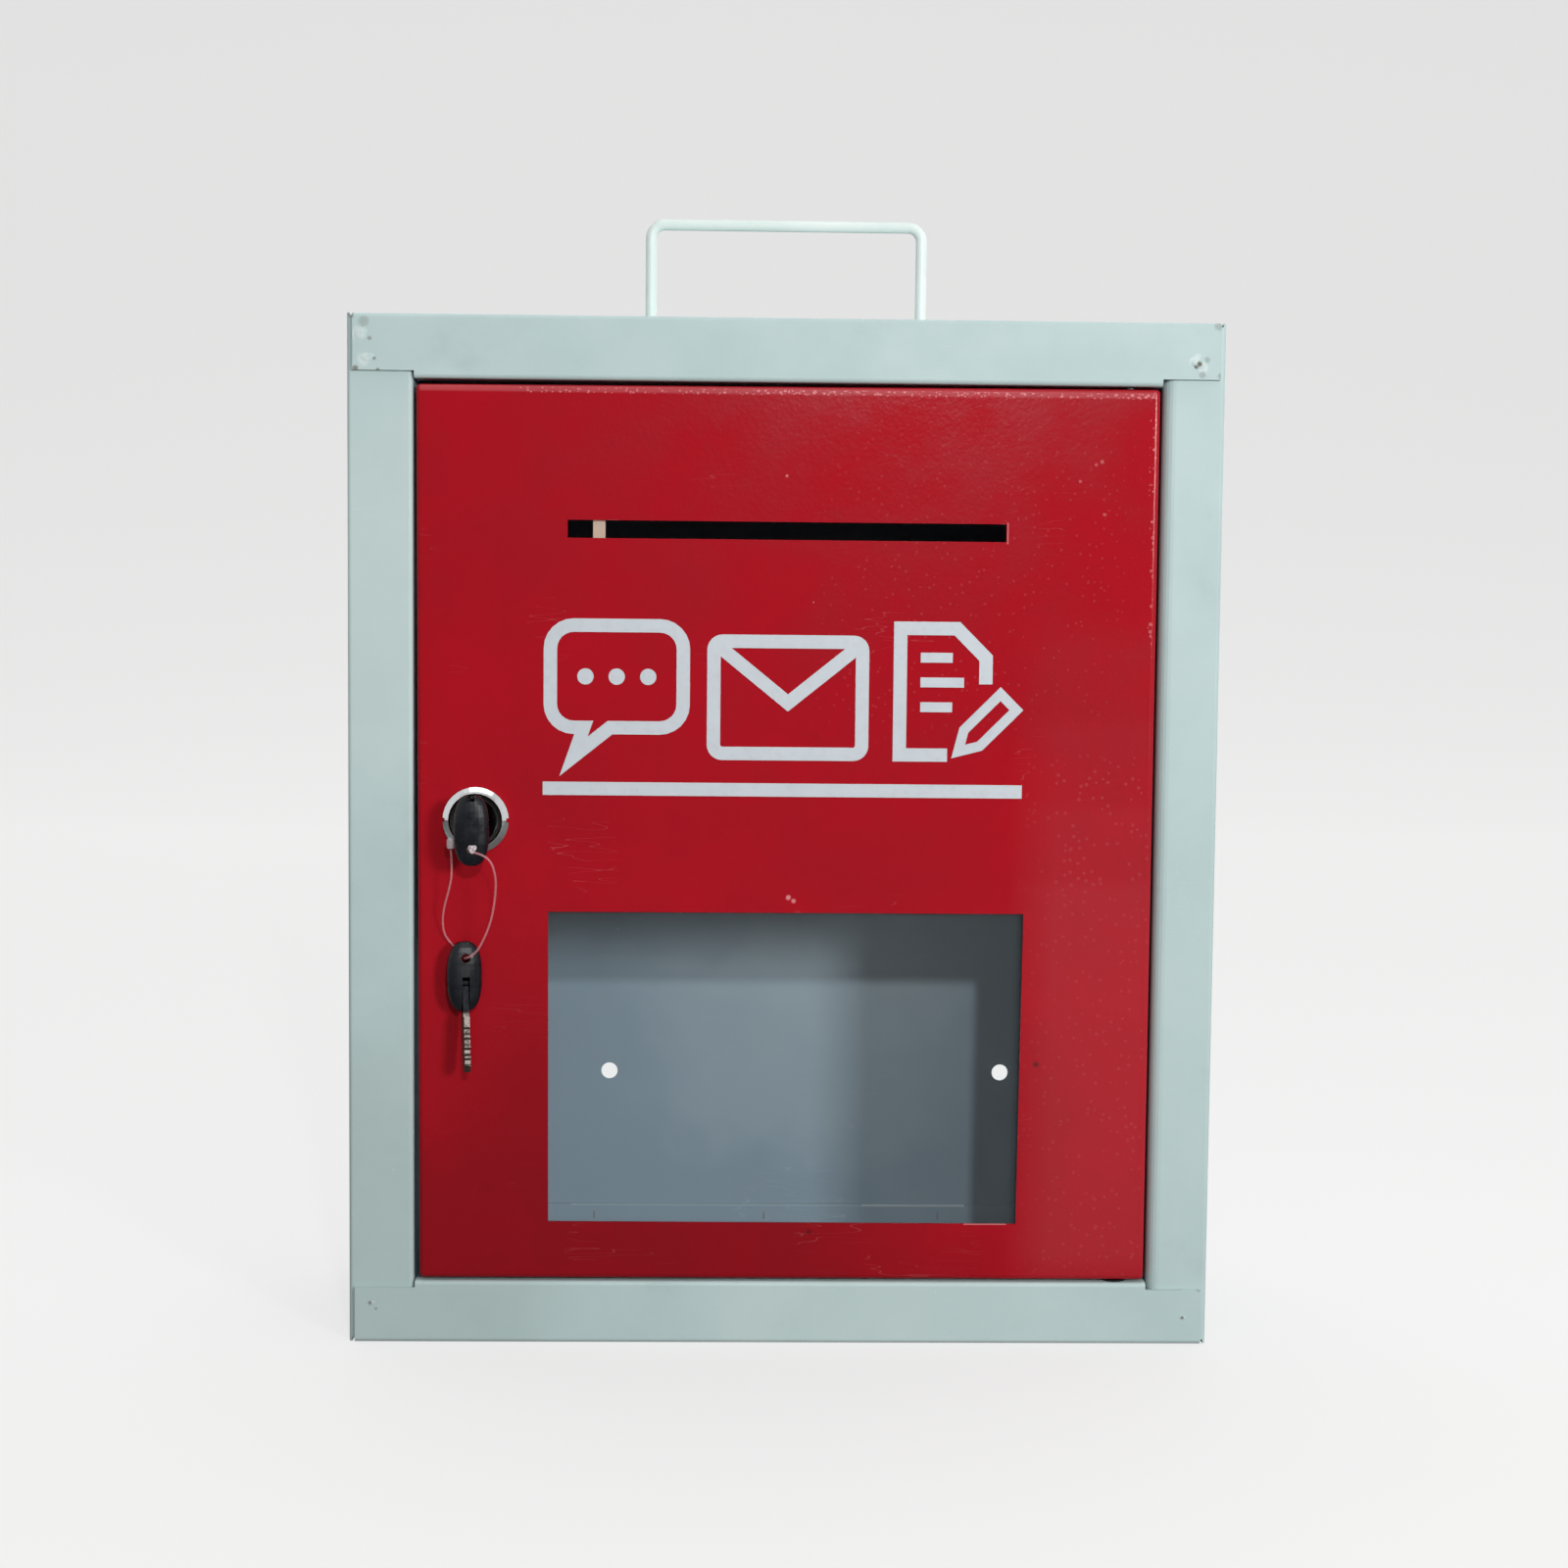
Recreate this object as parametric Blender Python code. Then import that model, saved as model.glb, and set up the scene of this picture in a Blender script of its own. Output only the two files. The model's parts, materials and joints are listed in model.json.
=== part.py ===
"""Wall suggestion box of folded sheet steel, in metres, +Z up, front towards -Y.

A pale case of two sides, two caps and a back carries a red folded door on two
pivot pins. The door holds a letter slot, a window with its clear pane, and a
cam lock. A folding key stands in the lock, and a thin nylon loop through its
head carries the spare key.

The origin is the middle of the case's underside.
"""

import math

import bmesh
import bpy
from mathutils import Matrix, Vector

# Case: outer size and sheet
CASE_WIDTH = 0.300
CASE_DEPTH = 0.100
CASE_HEIGHT = 0.355
SHEET = 0.0010
BEND_RADIUS = 0.0015
FIT_GAP = 0.0003
CUT_OVERRUN = 0.004

# Case: folds of the sides
LEFT_STILE_WIDTH = 0.0224
RIGHT_STILE_WIDTH = 0.0211
RIGHT_STILE_BEND_RADIUS = 0.0042
STILE_LIP_DEPTH = 0.0170
SIDE_REAR_FLANGE = 0.0150

# Case: folds of the caps
RAIL_HEIGHT = 0.0218
RAIL_LAP_HEIGHT = 0.0193
RAIL_END_SETBACK = 0.0021
RAIL_LIP_DEPTH = 0.0100
RAIL_LIP_END_GAP = 0.0006
CAP_SIDE_FLANGE = 0.0150
CAP_REAR_FLANGE = 0.0245
CAP_REAR_FLANGE_END_GAP = 0.0006

# Case: wall-screw holes in the back
WALL_HOLE_RADIUS = 0.0032
WALL_HOLE_LEFT_X = -0.0651
WALL_HOLE_SPACING = 0.1529
WALL_HOLE_FROM_BASE = 0.0770
WALL_HOLE_FROM_TOP = 0.0780

# Carry handle
HANDLE_ROD_RADIUS = 0.0020
HANDLE_SPAN = 0.0974
HANDLE_BAR_HEIGHT = 0.0395
HANDLE_CORNER_RADIUS = 0.0048
HANDLE_WELD_RADIUS = 0.0034
HANDLE_WELD_HEIGHT = 0.0018
HANDLE_TAIL = 0.0014

# Door pan and its gaps in the opening
DOOR_SHEET = 0.0010
DOOR_DEPTH = 0.0120
DOOR_EDGE_RADIUS = 0.0018
DOOR_CORNER_RADIUS = 0.0016
DOOR_GAP_LEFT_TOP = 0.0011
DOOR_GAP_LEFT_BOTTOM = 0.0020
DOOR_GAP_RIGHT = 0.0013
DOOR_GAP_TOP_LEFT = 0.0018
DOOR_GAP_TOP_RIGHT = 0.0009
DOOR_GAP_BOTTOM = 0.0010

# Door pivots
PIVOT_INSET = 0.0100
PIVOT_SETBACK = 0.0050
PIVOT_RADIUS = 0.0020
PIVOT_COLLAR_RADIUS = 0.0035
PIVOT_COLLAR_LENGTH = 0.0020
PIVOT_PROUD = 0.0016
PIVOT_WASHER_RADIUS = 0.0045

# Letter slot and the strip behind it
SLOT_WIDTH = 0.1501
SLOT_HEIGHT = 0.0061
SLOT_OFFSET_X = 0.0003
SLOT_FROM_TOP = 0.0722
STRIP_WIDTH = 0.0042
STRIP_FROM_SLOT_END = 0.0086
STRIP_LAP = 0.0100
STRIP_SHEET = 0.0010

# Window, pane and pane channels
WINDOW_LEFT_MARGIN = 0.0468
WINDOW_RIGHT_MARGIN = 0.0461
WINDOW_SILL = 0.0429
WINDOW_HEAD_BELOW_LOCK = 0.0316
WINDOW_LEAN = 0.0010
WINDOW_TILT = 0.0003
PANE_THICKNESS = 0.0020
PANE_LAP = 0.0080
PANE_TOP_LAP = 0.0100
CHANNEL_SHEET = 0.0008
CHANNEL_FOOT = 0.0090
CHANNEL_LIP = 0.0055

# Cam lock
LOCK_FROM_OPENING = 0.0218
LOCK_ABOVE_MIDDLE = 0.0054
BEZEL_RADIUS = 0.01135
BEZEL_RISE = 0.0032
BEZEL_RIM_RISE = 0.0012
BEZEL_CREST_WIDTH = 0.0021
BEZEL_NOTCH_WIDTH = 0.0014
BEZEL_NOTCH_DEPTH = 0.0008
LOCK_BODY_RADIUS = 0.0092
LOCK_FLAT_HALF = 0.0080
PLUG_RADIUS = 0.0060
PLUG_HEAD_RADIUS = 0.0073
PLUG_HEAD_THICKNESS = 0.0012
PLUG_RECESS = 0.0014
PLUG_TAIL_HALF = 0.0035
LOCK_WASHER_RADIUS = 0.0118
LOCK_WASHER_THICKNESS = 0.0008
LOCK_NUT_ACROSS_FLATS = 0.0230
LOCK_NUT_THICKNESS = 0.0030
WAFER_COUNT = 4
WAFER_THICKNESS = 0.0008
WAFER_PITCH = 0.0035
WAFER_FIRST_DEPTH = 0.0018
WAFER_HALF_WIDTH = 0.0035
WAFER_HALF_HEIGHT = 0.0047

# Cam and its screw
CAM_THICKNESS = 0.0016
CAM_HUB_RADIUS = 0.0080
CAM_TIP_RADIUS = 0.0050
CAM_REACH = 0.0250
CAM_SCREW_RADIUS = 0.0019
CAM_SCREW_HEAD_RADIUS = 0.0040
CAM_SCREW_HEAD_HEIGHT = 0.0022
CAM_SCREW_LENGTH = 0.0040
CAM_SCREW_SLOT_WIDTH = 0.0012
CAM_SCREW_SLOT_DEPTH = 0.0010
CAM_WASHER_RADIUS = 0.0056
CAM_WASHER_THICKNESS = 0.0008

# Folding key
KEY_PIN_FROM_DOOR = 0.0142
KEY_HEAD_WIDTH = 0.0120
KEY_HEAD_THICKNESS = 0.0066
KEY_PIN_TO_NOSE = 0.0098
KEY_PIN_TO_TAIL = 0.0146
KEY_RING_INSET = 0.0056
KEY_RING_RADIUS = 0.0016
KEY_PIN_RADIUS = 0.0007
KEY_PIN_RECESS = 0.0005
KEY_BLADE_THICKNESS = 0.0020
KEY_BLADE_HALF = 0.0030
KEY_NECK_HALF = 0.0019
KEY_HUB_RADIUS = 0.0022
KEY_NECK_LENGTH = 0.0116
KEY_SHOULDER_HALF = 0.0034
KEY_SHOULDER_LENGTH = 0.0005
KEY_BLADE_LENGTH = 0.0303
KEY_TIP_LENGTH = 0.0024
KEY_CUT_HALF = 0.0006
KEY_CUT_SLOPE = 0.0008
KEY_CUT_STEP = 0.0014
KEY_CUT_DEPTH_SHARES = (0.55, 0.25, 0.8, 0.4)

# Spare key, hanging on its loop
SPARE_FROM_LOCK_X = -0.0033
SPARE_RING_BELOW_LOCK = 0.0468
SPARE_FROM_DOOR = 0.0054
SPARE_YAW = math.radians(16.0)
SPARE_FOLD = math.radians(10.0)

# Nylon loop: the route of its middle line, from inside the first ring hole
CORD_RADIUS = 0.00038
CORD_ROUTE = (
    (-0.1058, -0.0642, 0.1739),
    (-0.1058, -0.0674, 0.1739),
    (-0.1049, -0.0689, 0.1735),
    (-0.1020, -0.0693, 0.1727),
    (-0.0994, -0.0691, 0.1710),
    (-0.0979, -0.0684, 0.1680),
    (-0.0973, -0.0664, 0.1625),
    (-0.0984, -0.0638, 0.1537),
    (-0.1006, -0.0616, 0.1462),
    (-0.1040, -0.0602, 0.1394),
    (-0.1070, -0.0595, 0.1368),
    (-0.1087, -0.0583, 0.1361),
    (-0.1091, -0.0566, 0.1361),
    (-0.1091, -0.0542, 0.1361),
    (-0.1094, -0.0524, 0.1364),
    (-0.1112, -0.0513, 0.1376),
    (-0.1140, -0.0511, 0.1400),
    (-0.1163, -0.0519, 0.1436),
    (-0.1168, -0.0535, 0.1483),
    (-0.1160, -0.0554, 0.1533),
    (-0.1144, -0.0572, 0.1589),
    (-0.1133, -0.0583, 0.1637),
    (-0.1131, -0.0590, 0.1685),
    (-0.1132, -0.0593, 0.1716),
    (-0.1134, -0.0594, 0.1734),
)
CORD_POINTS = 58

# Snap head of the loop and its tail back to the ring hole
TAG_HEAD_RADIUS = 0.0013
TAG_HEAD_LENGTH = 0.0036
TAG_TAIL_ROUTE = (
    (-0.1058, -0.0636, 0.1739),
    (-0.1058, -0.0608, 0.1739),
    (-0.1064, -0.0597, 0.1741),
    (-0.1082, -0.0593, 0.1746),
    (-0.1108, -0.0593, 0.1750),
    (-0.1134, -0.0594, 0.1752),
)

# Counts that set how fine the round shapes are
ROUND_STEPS = 32
SMALL_ROUND_STEPS = 16
BEND_STEPS = 6
CORNER_STEPS = 4
CORD_BEVEL_RESOLUTION = 2

# Places worked out from the sizes above
FRONT_Y = -CASE_DEPTH / 2
BACK_Y = CASE_DEPTH / 2
BACK_INNER_Y = BACK_Y - SHEET - FIT_GAP
STILE_Y = FRONT_Y + SHEET + FIT_GAP
OPENING_LEFT = -CASE_WIDTH / 2 + LEFT_STILE_WIDTH
OPENING_RIGHT = CASE_WIDTH / 2 - RIGHT_STILE_WIDTH
OPENING_LOW = RAIL_HEIGHT
OPENING_HIGH = CASE_HEIGHT - RAIL_HEIGHT
DOOR_BACK_Y = FRONT_Y + DOOR_SHEET
DOOR_RIGHT = OPENING_RIGHT - DOOR_GAP_RIGHT
DOOR_LOW = OPENING_LOW + DOOR_GAP_BOTTOM
PIVOT_X = DOOR_RIGHT - PIVOT_INSET
PIVOT_Y = FRONT_Y + PIVOT_SETBACK
SLOT_Z = CASE_HEIGHT - SLOT_FROM_TOP
WINDOW_LEFT = OPENING_LEFT + WINDOW_LEFT_MARGIN
WINDOW_RIGHT = OPENING_RIGHT - WINDOW_RIGHT_MARGIN
PANE_Y = DOOR_BACK_Y + FIT_GAP
LOCK_X = OPENING_LEFT + LOCK_FROM_OPENING
LOCK_Z = CASE_HEIGHT / 2 + LOCK_ABOVE_MIDDLE
WINDOW_LOW = WINDOW_SILL
WINDOW_HIGH = LOCK_Z - WINDOW_HEAD_BELOW_LOCK
BEZEL_FRONT_Y = FRONT_Y - BEZEL_RISE
PLUG_FACE_Y = BEZEL_FRONT_Y + PLUG_RECESS
LOCK_REAR_Y = STILE_Y + STILE_LIP_DEPTH
CAM_Y = LOCK_REAR_Y + FIT_GAP
CAM_REAR_Y = CAM_Y + CAM_THICKNESS
KEY_PIN_Y = FRONT_Y - KEY_PIN_FROM_DOOR
KEYWAY_END_Y = KEY_PIN_Y + KEY_BLADE_LENGTH + FIT_GAP


def clear_scene():
    """Remove what a new Blender file holds."""
    for item in list(bpy.data.objects):
        bpy.data.objects.remove(item, do_unlink=True)


def make_material(name, colour, roughness, metallic=0.0, alpha=1.0):
    """One Principled material."""
    material = bpy.data.materials.new(name)
    material.use_nodes = True
    shader = material.node_tree.nodes["Principled BSDF"]
    shader.inputs["Base Color"].default_value = (*colour, 1.0)
    shader.inputs["Roughness"].default_value = roughness
    shader.inputs["Metallic"].default_value = metallic
    shader.inputs["Alpha"].default_value = alpha
    return material


def case_paint():
    """Pale aqua-grey powder coat."""
    return make_material("case_paint", (0.49, 0.60, 0.60), 0.42)


def door_paint():
    """Red powder coat."""
    return make_material("door_paint", (0.42, 0.012, 0.022), 0.38)


def handle_paint():
    """Near-white coat of the handle rod."""
    return make_material("handle_paint", (0.75, 0.84, 0.82), 0.40)


def clear_acrylic():
    """Clear sheet of the window."""
    return make_material("clear_acrylic", (0.92, 0.96, 0.96), 0.05, alpha=0.3)


def zinc_steel():
    """Bright zinc-plated steel of hidden fittings."""
    return make_material("zinc_steel", (0.62, 0.63, 0.64), 0.35, metallic=1.0)


def chrome():
    """Polished chrome of the lock."""
    return make_material("chrome", (0.80, 0.81, 0.83), 0.08, metallic=1.0)


def dark_plug():
    """Dark plating of the lock's turning barrel."""
    return make_material("dark_plug", (0.05, 0.05, 0.06), 0.15, metallic=0.8)


def brass():
    """Brass of the wafers."""
    return make_material("brass", (0.75, 0.58, 0.28), 0.35, metallic=1.0)


def key_plastic():
    """Black plastic of the key heads."""
    return make_material("key_plastic", (0.010, 0.011, 0.014), 0.40)


def key_steel():
    """Worn nickel-plated steel of the key blades."""
    return make_material("key_steel", (0.52, 0.48, 0.45), 0.40, metallic=0.9)


def nylon():
    """Clear nylon of the loop."""
    return make_material("nylon", (0.78, 0.66, 0.66), 0.25, alpha=0.7)


def strip_coat():
    """Cream primer of the strip behind the slot."""
    return make_material("strip_coat", (0.55, 0.43, 0.33), 0.60)


def add_object(name, mesh, material):
    """Link a mesh into the scene as one named object with its own material."""
    item = bpy.data.objects.new(name, mesh)
    bpy.context.collection.objects.link(item)
    mesh.materials.clear()
    mesh.materials.append(material)
    return item


def mesh_from(name, points, faces):
    """Mesh of the points and faces, with every face turned outwards."""
    build = bmesh.new()
    vertices = [build.verts.new(point) for point in points]
    for face in faces:
        build.faces.new([vertices[index] for index in face])
    bmesh.ops.recalc_face_normals(build, faces=build.faces)
    mesh = bpy.data.meshes.new(name)
    build.to_mesh(mesh)
    build.free()
    return mesh


def prism(name, outline, low, high, along):
    """Closed prism of a flat outline, carried along X, Y or Z from low to high.

    The outline's pairs are (Y, Z) along X, (X, Z) along Y and (X, Y) along Z.
    """
    place = {
        "X": lambda a, b, run: (run, a, b),
        "Y": lambda a, b, run: (a, run, b),
        "Z": lambda a, b, run: (a, b, run),
    }[along]
    count = len(outline)
    points = [place(a, b, low) for a, b in outline]
    points += [place(a, b, high) for a, b in outline]
    faces = [tuple(range(count)), tuple(range(count, 2 * count))]
    for index in range(count):
        after = (index + 1) % count
        faces.append((index, after, count + after, count + index))
    return mesh_from(name, points, faces)


def box_outline(low_a, high_a, low_b, high_b):
    """Four corners of a rectangle."""
    return [(low_a, low_b), (high_a, low_b), (high_a, high_b), (low_a, high_b)]


def circle_outline(centre_a, centre_b, radius, steps=SMALL_ROUND_STEPS):
    """Points of a circle."""
    turns = [2 * math.pi * index / steps for index in range(steps)]
    return [(centre_a + radius * math.cos(turn), centre_b + radius * math.sin(turn)) for turn in turns]


def revolve(name, profile, centre, steps, bored):
    """Turn a profile of (radius, y) pairs about the Y line through centre (x, z).

    A solid profile starts and ends on the axis. A bored one is a closed ring.
    """
    x_centre, z_centre = centre
    points = []
    rings = []
    for radius, y in profile:
        if radius == 0:
            rings.append([len(points)])
            points.append((x_centre, y, z_centre))
            continue
        rings.append(list(range(len(points), len(points) + steps)))
        for index in range(steps):
            turn = 2 * math.pi * index / steps
            points.append((x_centre + radius * math.cos(turn), y, z_centre + radius * math.sin(turn)))
    faces = []
    pairs = list(zip(rings, rings[1:]))
    if bored:
        pairs.append((rings[-1], rings[0]))
    for first, second in pairs:
        for index in range(steps):
            after = (index + 1) % steps
            if len(first) == 1:
                faces.append((first[0], second[index], second[after]))
            elif len(second) == 1:
                faces.append((first[index], first[after], second[0]))
            else:
                faces.append((first[index], first[after], second[after], second[index]))
    return mesh_from(name, points, faces)


def swept_rod(name, stations, steps):
    """Rod through (centre, direction, radius) stations, with flat ends.

    Each ring stands square to its station's direction. The side vector is
    square to the XZ plane, so the rod lies in a plane of constant Y.
    """
    side = Vector((0, 1, 0))
    points = []
    for centre, direction, radius in stations:
        other = direction.cross(side).normalized()
        for index in range(steps):
            turn = 2 * math.pi * index / steps
            points.append(centre + side * (radius * math.cos(turn)) + other * (radius * math.sin(turn)))
    faces = [tuple(range(steps))]
    for ring in range(len(stations) - 1):
        start = ring * steps
        for index in range(steps):
            after = (index + 1) % steps
            faces.append((start + index, start + after, start + steps + after, start + steps + index))
    last = (len(stations) - 1) * steps
    faces.append(tuple(range(last, last + steps)))
    return mesh_from(name, points, faces)


def smooth(item):
    """Shade round faces smooth and keep the edges sharp."""
    item.data.shade_smooth()
    item.data.set_sharp_from_angle(angle=math.radians(35.0))


def combine(target, tool_mesh, operation):
    """Unite a mesh with an object's mesh, or cut it out, and keep the result."""
    tool = bpy.data.objects.new("tool", tool_mesh)
    bpy.context.collection.objects.link(tool)
    modifier = target.modifiers.new("combine", "BOOLEAN")
    modifier.operation = operation
    modifier.solver = "EXACT"
    modifier.object = tool
    graph = bpy.context.evaluated_depsgraph_get()
    result = bpy.data.meshes.new_from_object(target.evaluated_get(graph))
    target.modifiers.clear()
    target.data = result
    bpy.data.objects.remove(tool, do_unlink=True)


def cut(target, tool_mesh):
    """Cut a mesh out of an object."""
    combine(target, tool_mesh, "DIFFERENCE")


def unite(target, tool_mesh):
    """Join a mesh to an object."""
    combine(target, tool_mesh, "UNION")


def move_to(mesh, matrix):
    """Carry a mesh by a matrix."""
    mesh.transform(matrix)
    mesh.update()
    return mesh


def rounded_path(corners, radii):
    """Open path with each inner corner replaced by an arc of its radius."""
    path = [corners[0]]
    for before, corner, after, radius in zip(corners, corners[1:], corners[2:], radii):
        to_before = (before - corner).normalized()
        to_after = (after - corner).normalized()
        half = to_before.angle(to_after) / 2
        centre = corner + (to_before + to_after).normalized() * (radius / math.sin(half))
        start = corner + to_before * (radius / math.tan(half)) - centre
        end = corner + to_after * (radius / math.tan(half)) - centre
        sweep = start.angle_signed(end)
        for step in range(BEND_STEPS + 1):
            turn = -sweep * step / BEND_STEPS
            path.append(centre + Matrix.Rotation(turn, 2) @ start)
    path.append(corners[-1])
    return path


def folded_outline(corners, radii, sheet, side):
    """Outline of a folded strip whose outer face follows the corners.

    The sheet lies to the right of the way along the corners where side is 1,
    and to the left where side is -1. All folds turn towards the sheet.
    """
    corners = [Vector(corner) for corner in corners]
    runs = [(after - before).normalized() for before, after in zip(corners, corners[1:])]
    normals = [Vector((run.y, -run.x)) * side for run in runs]
    inner = [corners[0] + normals[0] * sheet]
    for first, second, corner in zip(normals, normals[1:], corners[1:]):
        inner.append(corner + (first + second) * (sheet / (1 + first.dot(second))))
    inner.append(corners[-1] + normals[-1] * sheet)
    inner_radii = [max(radius - sheet, sheet / 4) for radius in radii]
    outer_path = rounded_path(corners, radii)
    inner_path = rounded_path(inner, inner_radii)
    return [tuple(point) for point in outer_path + inner_path[::-1]]


def side_panel(name, side, stile_width, lip_radius):
    """Folded side: lip, stile, wall and rear flange; side is -1 left, 1 right."""
    wall = side * CASE_WIDTH / 2
    stile_edge = wall - side * stile_width
    flange_end = wall - side * SIDE_REAR_FLANGE
    corners = [
        (stile_edge, STILE_Y + STILE_LIP_DEPTH),
        (stile_edge, STILE_Y),
        (wall, STILE_Y),
        (wall, BACK_INNER_Y),
        (flange_end, BACK_INNER_Y),
    ]
    radii = (lip_radius, BEND_RADIUS, BEND_RADIUS)
    outline = folded_outline(corners, radii, SHEET, -side)
    item = add_object(name, prism(name, outline, 0, CASE_HEIGHT, "Z"), case_paint())
    # The flanges stop short of both caps, and only the wall runs to the ends.
    inner_face = wall - side * SHEET
    far_x = -side * CUT_OVERRUN
    low_a, high_a = sorted((inner_face, far_x))
    notch = box_outline(low_a, high_a, -CASE_DEPTH, CASE_DEPTH)
    depth = SHEET + FIT_GAP
    cut(item, prism("notch", notch, -CUT_OVERRUN, depth, "Z"))
    cut(item, prism("notch", notch, CASE_HEIGHT - depth, CASE_HEIGHT + CUT_OVERRUN, "Z"))
    smooth(item)
    return item


def cap(name, level, inward):
    """Folded cap whose outer face is at level; inward is -1 on top, 1 below."""

    def at(distance):
        return level + inward * distance

    rail_half = CASE_WIDTH / 2 - RAIL_END_SETBACK
    side_half = CASE_WIDTH / 2 - SHEET - FIT_GAP
    plate_half = side_half - SHEET / 2
    flange_half = CASE_WIDTH / 2 - SIDE_REAR_FLANGE - CAP_REAR_FLANGE_END_GAP
    corners = [
        (FRONT_Y + RAIL_LIP_DEPTH, at(RAIL_HEIGHT)),
        (FRONT_Y, at(RAIL_HEIGHT)),
        (FRONT_Y, at(0)),
        (BACK_INNER_Y, at(0)),
        (BACK_INNER_Y, at(CAP_REAR_FLANGE)),
    ]
    outline = folded_outline(corners, (BEND_RADIUS, BEND_RADIUS, BEND_RADIUS), SHEET, -inward)
    item = add_object(name, prism(name, outline, -plate_half, plate_half, "X"), case_paint())
    # The rail stops short of the walls, its lower edge of the stiles, and the
    # rear flange of the side panels' flanges.
    front = FRONT_Y - CUT_OVERRUN
    rear = BACK_Y + CUT_OVERRUN
    bend = BACK_INNER_Y - BEND_RADIUS
    far = CAP_REAR_FLANGE + CUT_OVERRUN
    cuts = (
        (rail_half, rail_half, front, STILE_Y + SHEET + FIT_GAP, -CUT_OVERRUN, far),
        (flange_half, flange_half, bend, rear, -CUT_OVERRUN, far),
        (
            -OPENING_LEFT - RAIL_LIP_END_GAP,
            OPENING_RIGHT - RAIL_LIP_END_GAP,
            front,
            FRONT_Y + RAIL_LIP_DEPTH + CUT_OVERRUN,
            RAIL_LAP_HEIGHT,
            far,
        ),
    )
    for left, right, near_y, far_y, near_z, far_z in cuts:
        section = box_outline(near_y, far_y, *sorted((at(near_z), at(far_z))))
        cut(item, prism("notch", section, right, CASE_WIDTH, "X"))
        cut(item, prism("notch", section, -CASE_WIDTH, -left, "X"))
    # Side flanges, which lie inside the side panels.
    for side in (-1, 1):
        section = [
            (side * (side_half - SHEET), at(CAP_SIDE_FLANGE)),
            (side * side_half, at(CAP_SIDE_FLANGE)),
            (side * side_half, at(SHEET * 3 / 5)),
            (side * (side_half - SHEET * 2 / 5), at(SHEET / 10)),
            (side * (side_half - SHEET), at(SHEET / 10)),
        ]
        flange = prism("flange", section, STILE_Y + SHEET + BEND_RADIUS, bend - BEND_RADIUS, "Y")
        unite(item, flange)
    # Bore for the door's pivot pin.
    bore = circle_outline(PIVOT_X, PIVOT_Y, PIVOT_RADIUS + FIT_GAP)
    ends = sorted((at(RAIL_HEIGHT + CUT_OVERRUN), at(RAIL_HEIGHT - SHEET - CUT_OVERRUN)))
    cut(item, prism("bore", bore, ends[0], ends[1], "Z"))
    return item


def top_cap():
    """Top cap with the two bores for the handle's legs."""
    item = cap("top_cap", CASE_HEIGHT, -1)
    for x in (-HANDLE_SPAN / 2, HANDLE_SPAN / 2):
        bore = circle_outline(x, 0, HANDLE_ROD_RADIUS + FIT_GAP)
        low = CASE_HEIGHT - SHEET - CUT_OVERRUN
        cut(item, prism("bore", bore, low, CASE_HEIGHT + CUT_OVERRUN, "Z"))
    smooth(item)
    return item


def bottom_cap():
    """Bottom cap; its rear flange shows inside through the window."""
    item = cap("bottom_cap", 0, 1)
    smooth(item)
    return item


def back_panel():
    """Flat back with four wall-screw holes."""
    half = CASE_WIDTH / 2 - FIT_GAP
    outline = box_outline(-half, half, FIT_GAP, CASE_HEIGHT - FIT_GAP)
    item = add_object("back_panel", prism("back_panel", outline, BACK_Y - SHEET, BACK_Y, "Y"), case_paint())
    for x in (WALL_HOLE_LEFT_X, WALL_HOLE_LEFT_X + WALL_HOLE_SPACING):
        for z in (WALL_HOLE_FROM_BASE, CASE_HEIGHT - WALL_HOLE_FROM_TOP):
            bore = circle_outline(x, z, WALL_HOLE_RADIUS)
            cut(item, prism("bore", bore, BACK_Y - SHEET - CUT_OVERRUN, BACK_Y + CUT_OVERRUN, "Y"))
    smooth(item)
    return item


def carry_handle():
    """Bent rod whose legs pass through the top cap, welded above and below."""
    up = Vector((0, 0, 1))
    half = HANDLE_SPAN / 2
    thin = HANDLE_ROD_RADIUS
    above = CASE_HEIGHT + FIT_GAP
    below = CASE_HEIGHT - SHEET - FIT_GAP
    foot = below - HANDLE_WELD_HEIGHT - HANDLE_TAIL
    leg = [
        (foot, thin),
        (below - HANDLE_WELD_HEIGHT, thin),
        (below - HANDLE_WELD_HEIGHT, HANDLE_WELD_RADIUS),
        (below, HANDLE_WELD_RADIUS),
        (below, thin),
        (above, thin),
        (above, HANDLE_WELD_RADIUS),
        (above + HANDLE_WELD_HEIGHT, thin),
    ]
    stations = [(Vector((-half, 0, z)), up, radius) for z, radius in leg]
    centre_z = CASE_HEIGHT + HANDLE_BAR_HEIGHT - HANDLE_CORNER_RADIUS
    corner_steps = 2 * BEND_STEPS
    for side, first_turn in ((-1, math.pi), (1, math.pi / 2)):
        centre = Vector((side * (half - HANDLE_CORNER_RADIUS), 0, centre_z))
        for step in range(corner_steps + 1):
            turn = first_turn - math.pi / 2 * step / corner_steps
            arm = Vector((math.cos(turn), 0, math.sin(turn)))
            direction = Vector((math.sin(turn), 0, -math.cos(turn)))
            stations.append((centre + arm * HANDLE_CORNER_RADIUS, direction, thin))
    stations += [(Vector((half, 0, z)), -up, radius) for z, radius in reversed(leg)]
    item = add_object("carry_handle", swept_rod("carry_handle", stations, SMALL_ROUND_STEPS), handle_paint())
    smooth(item)
    return item


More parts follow.
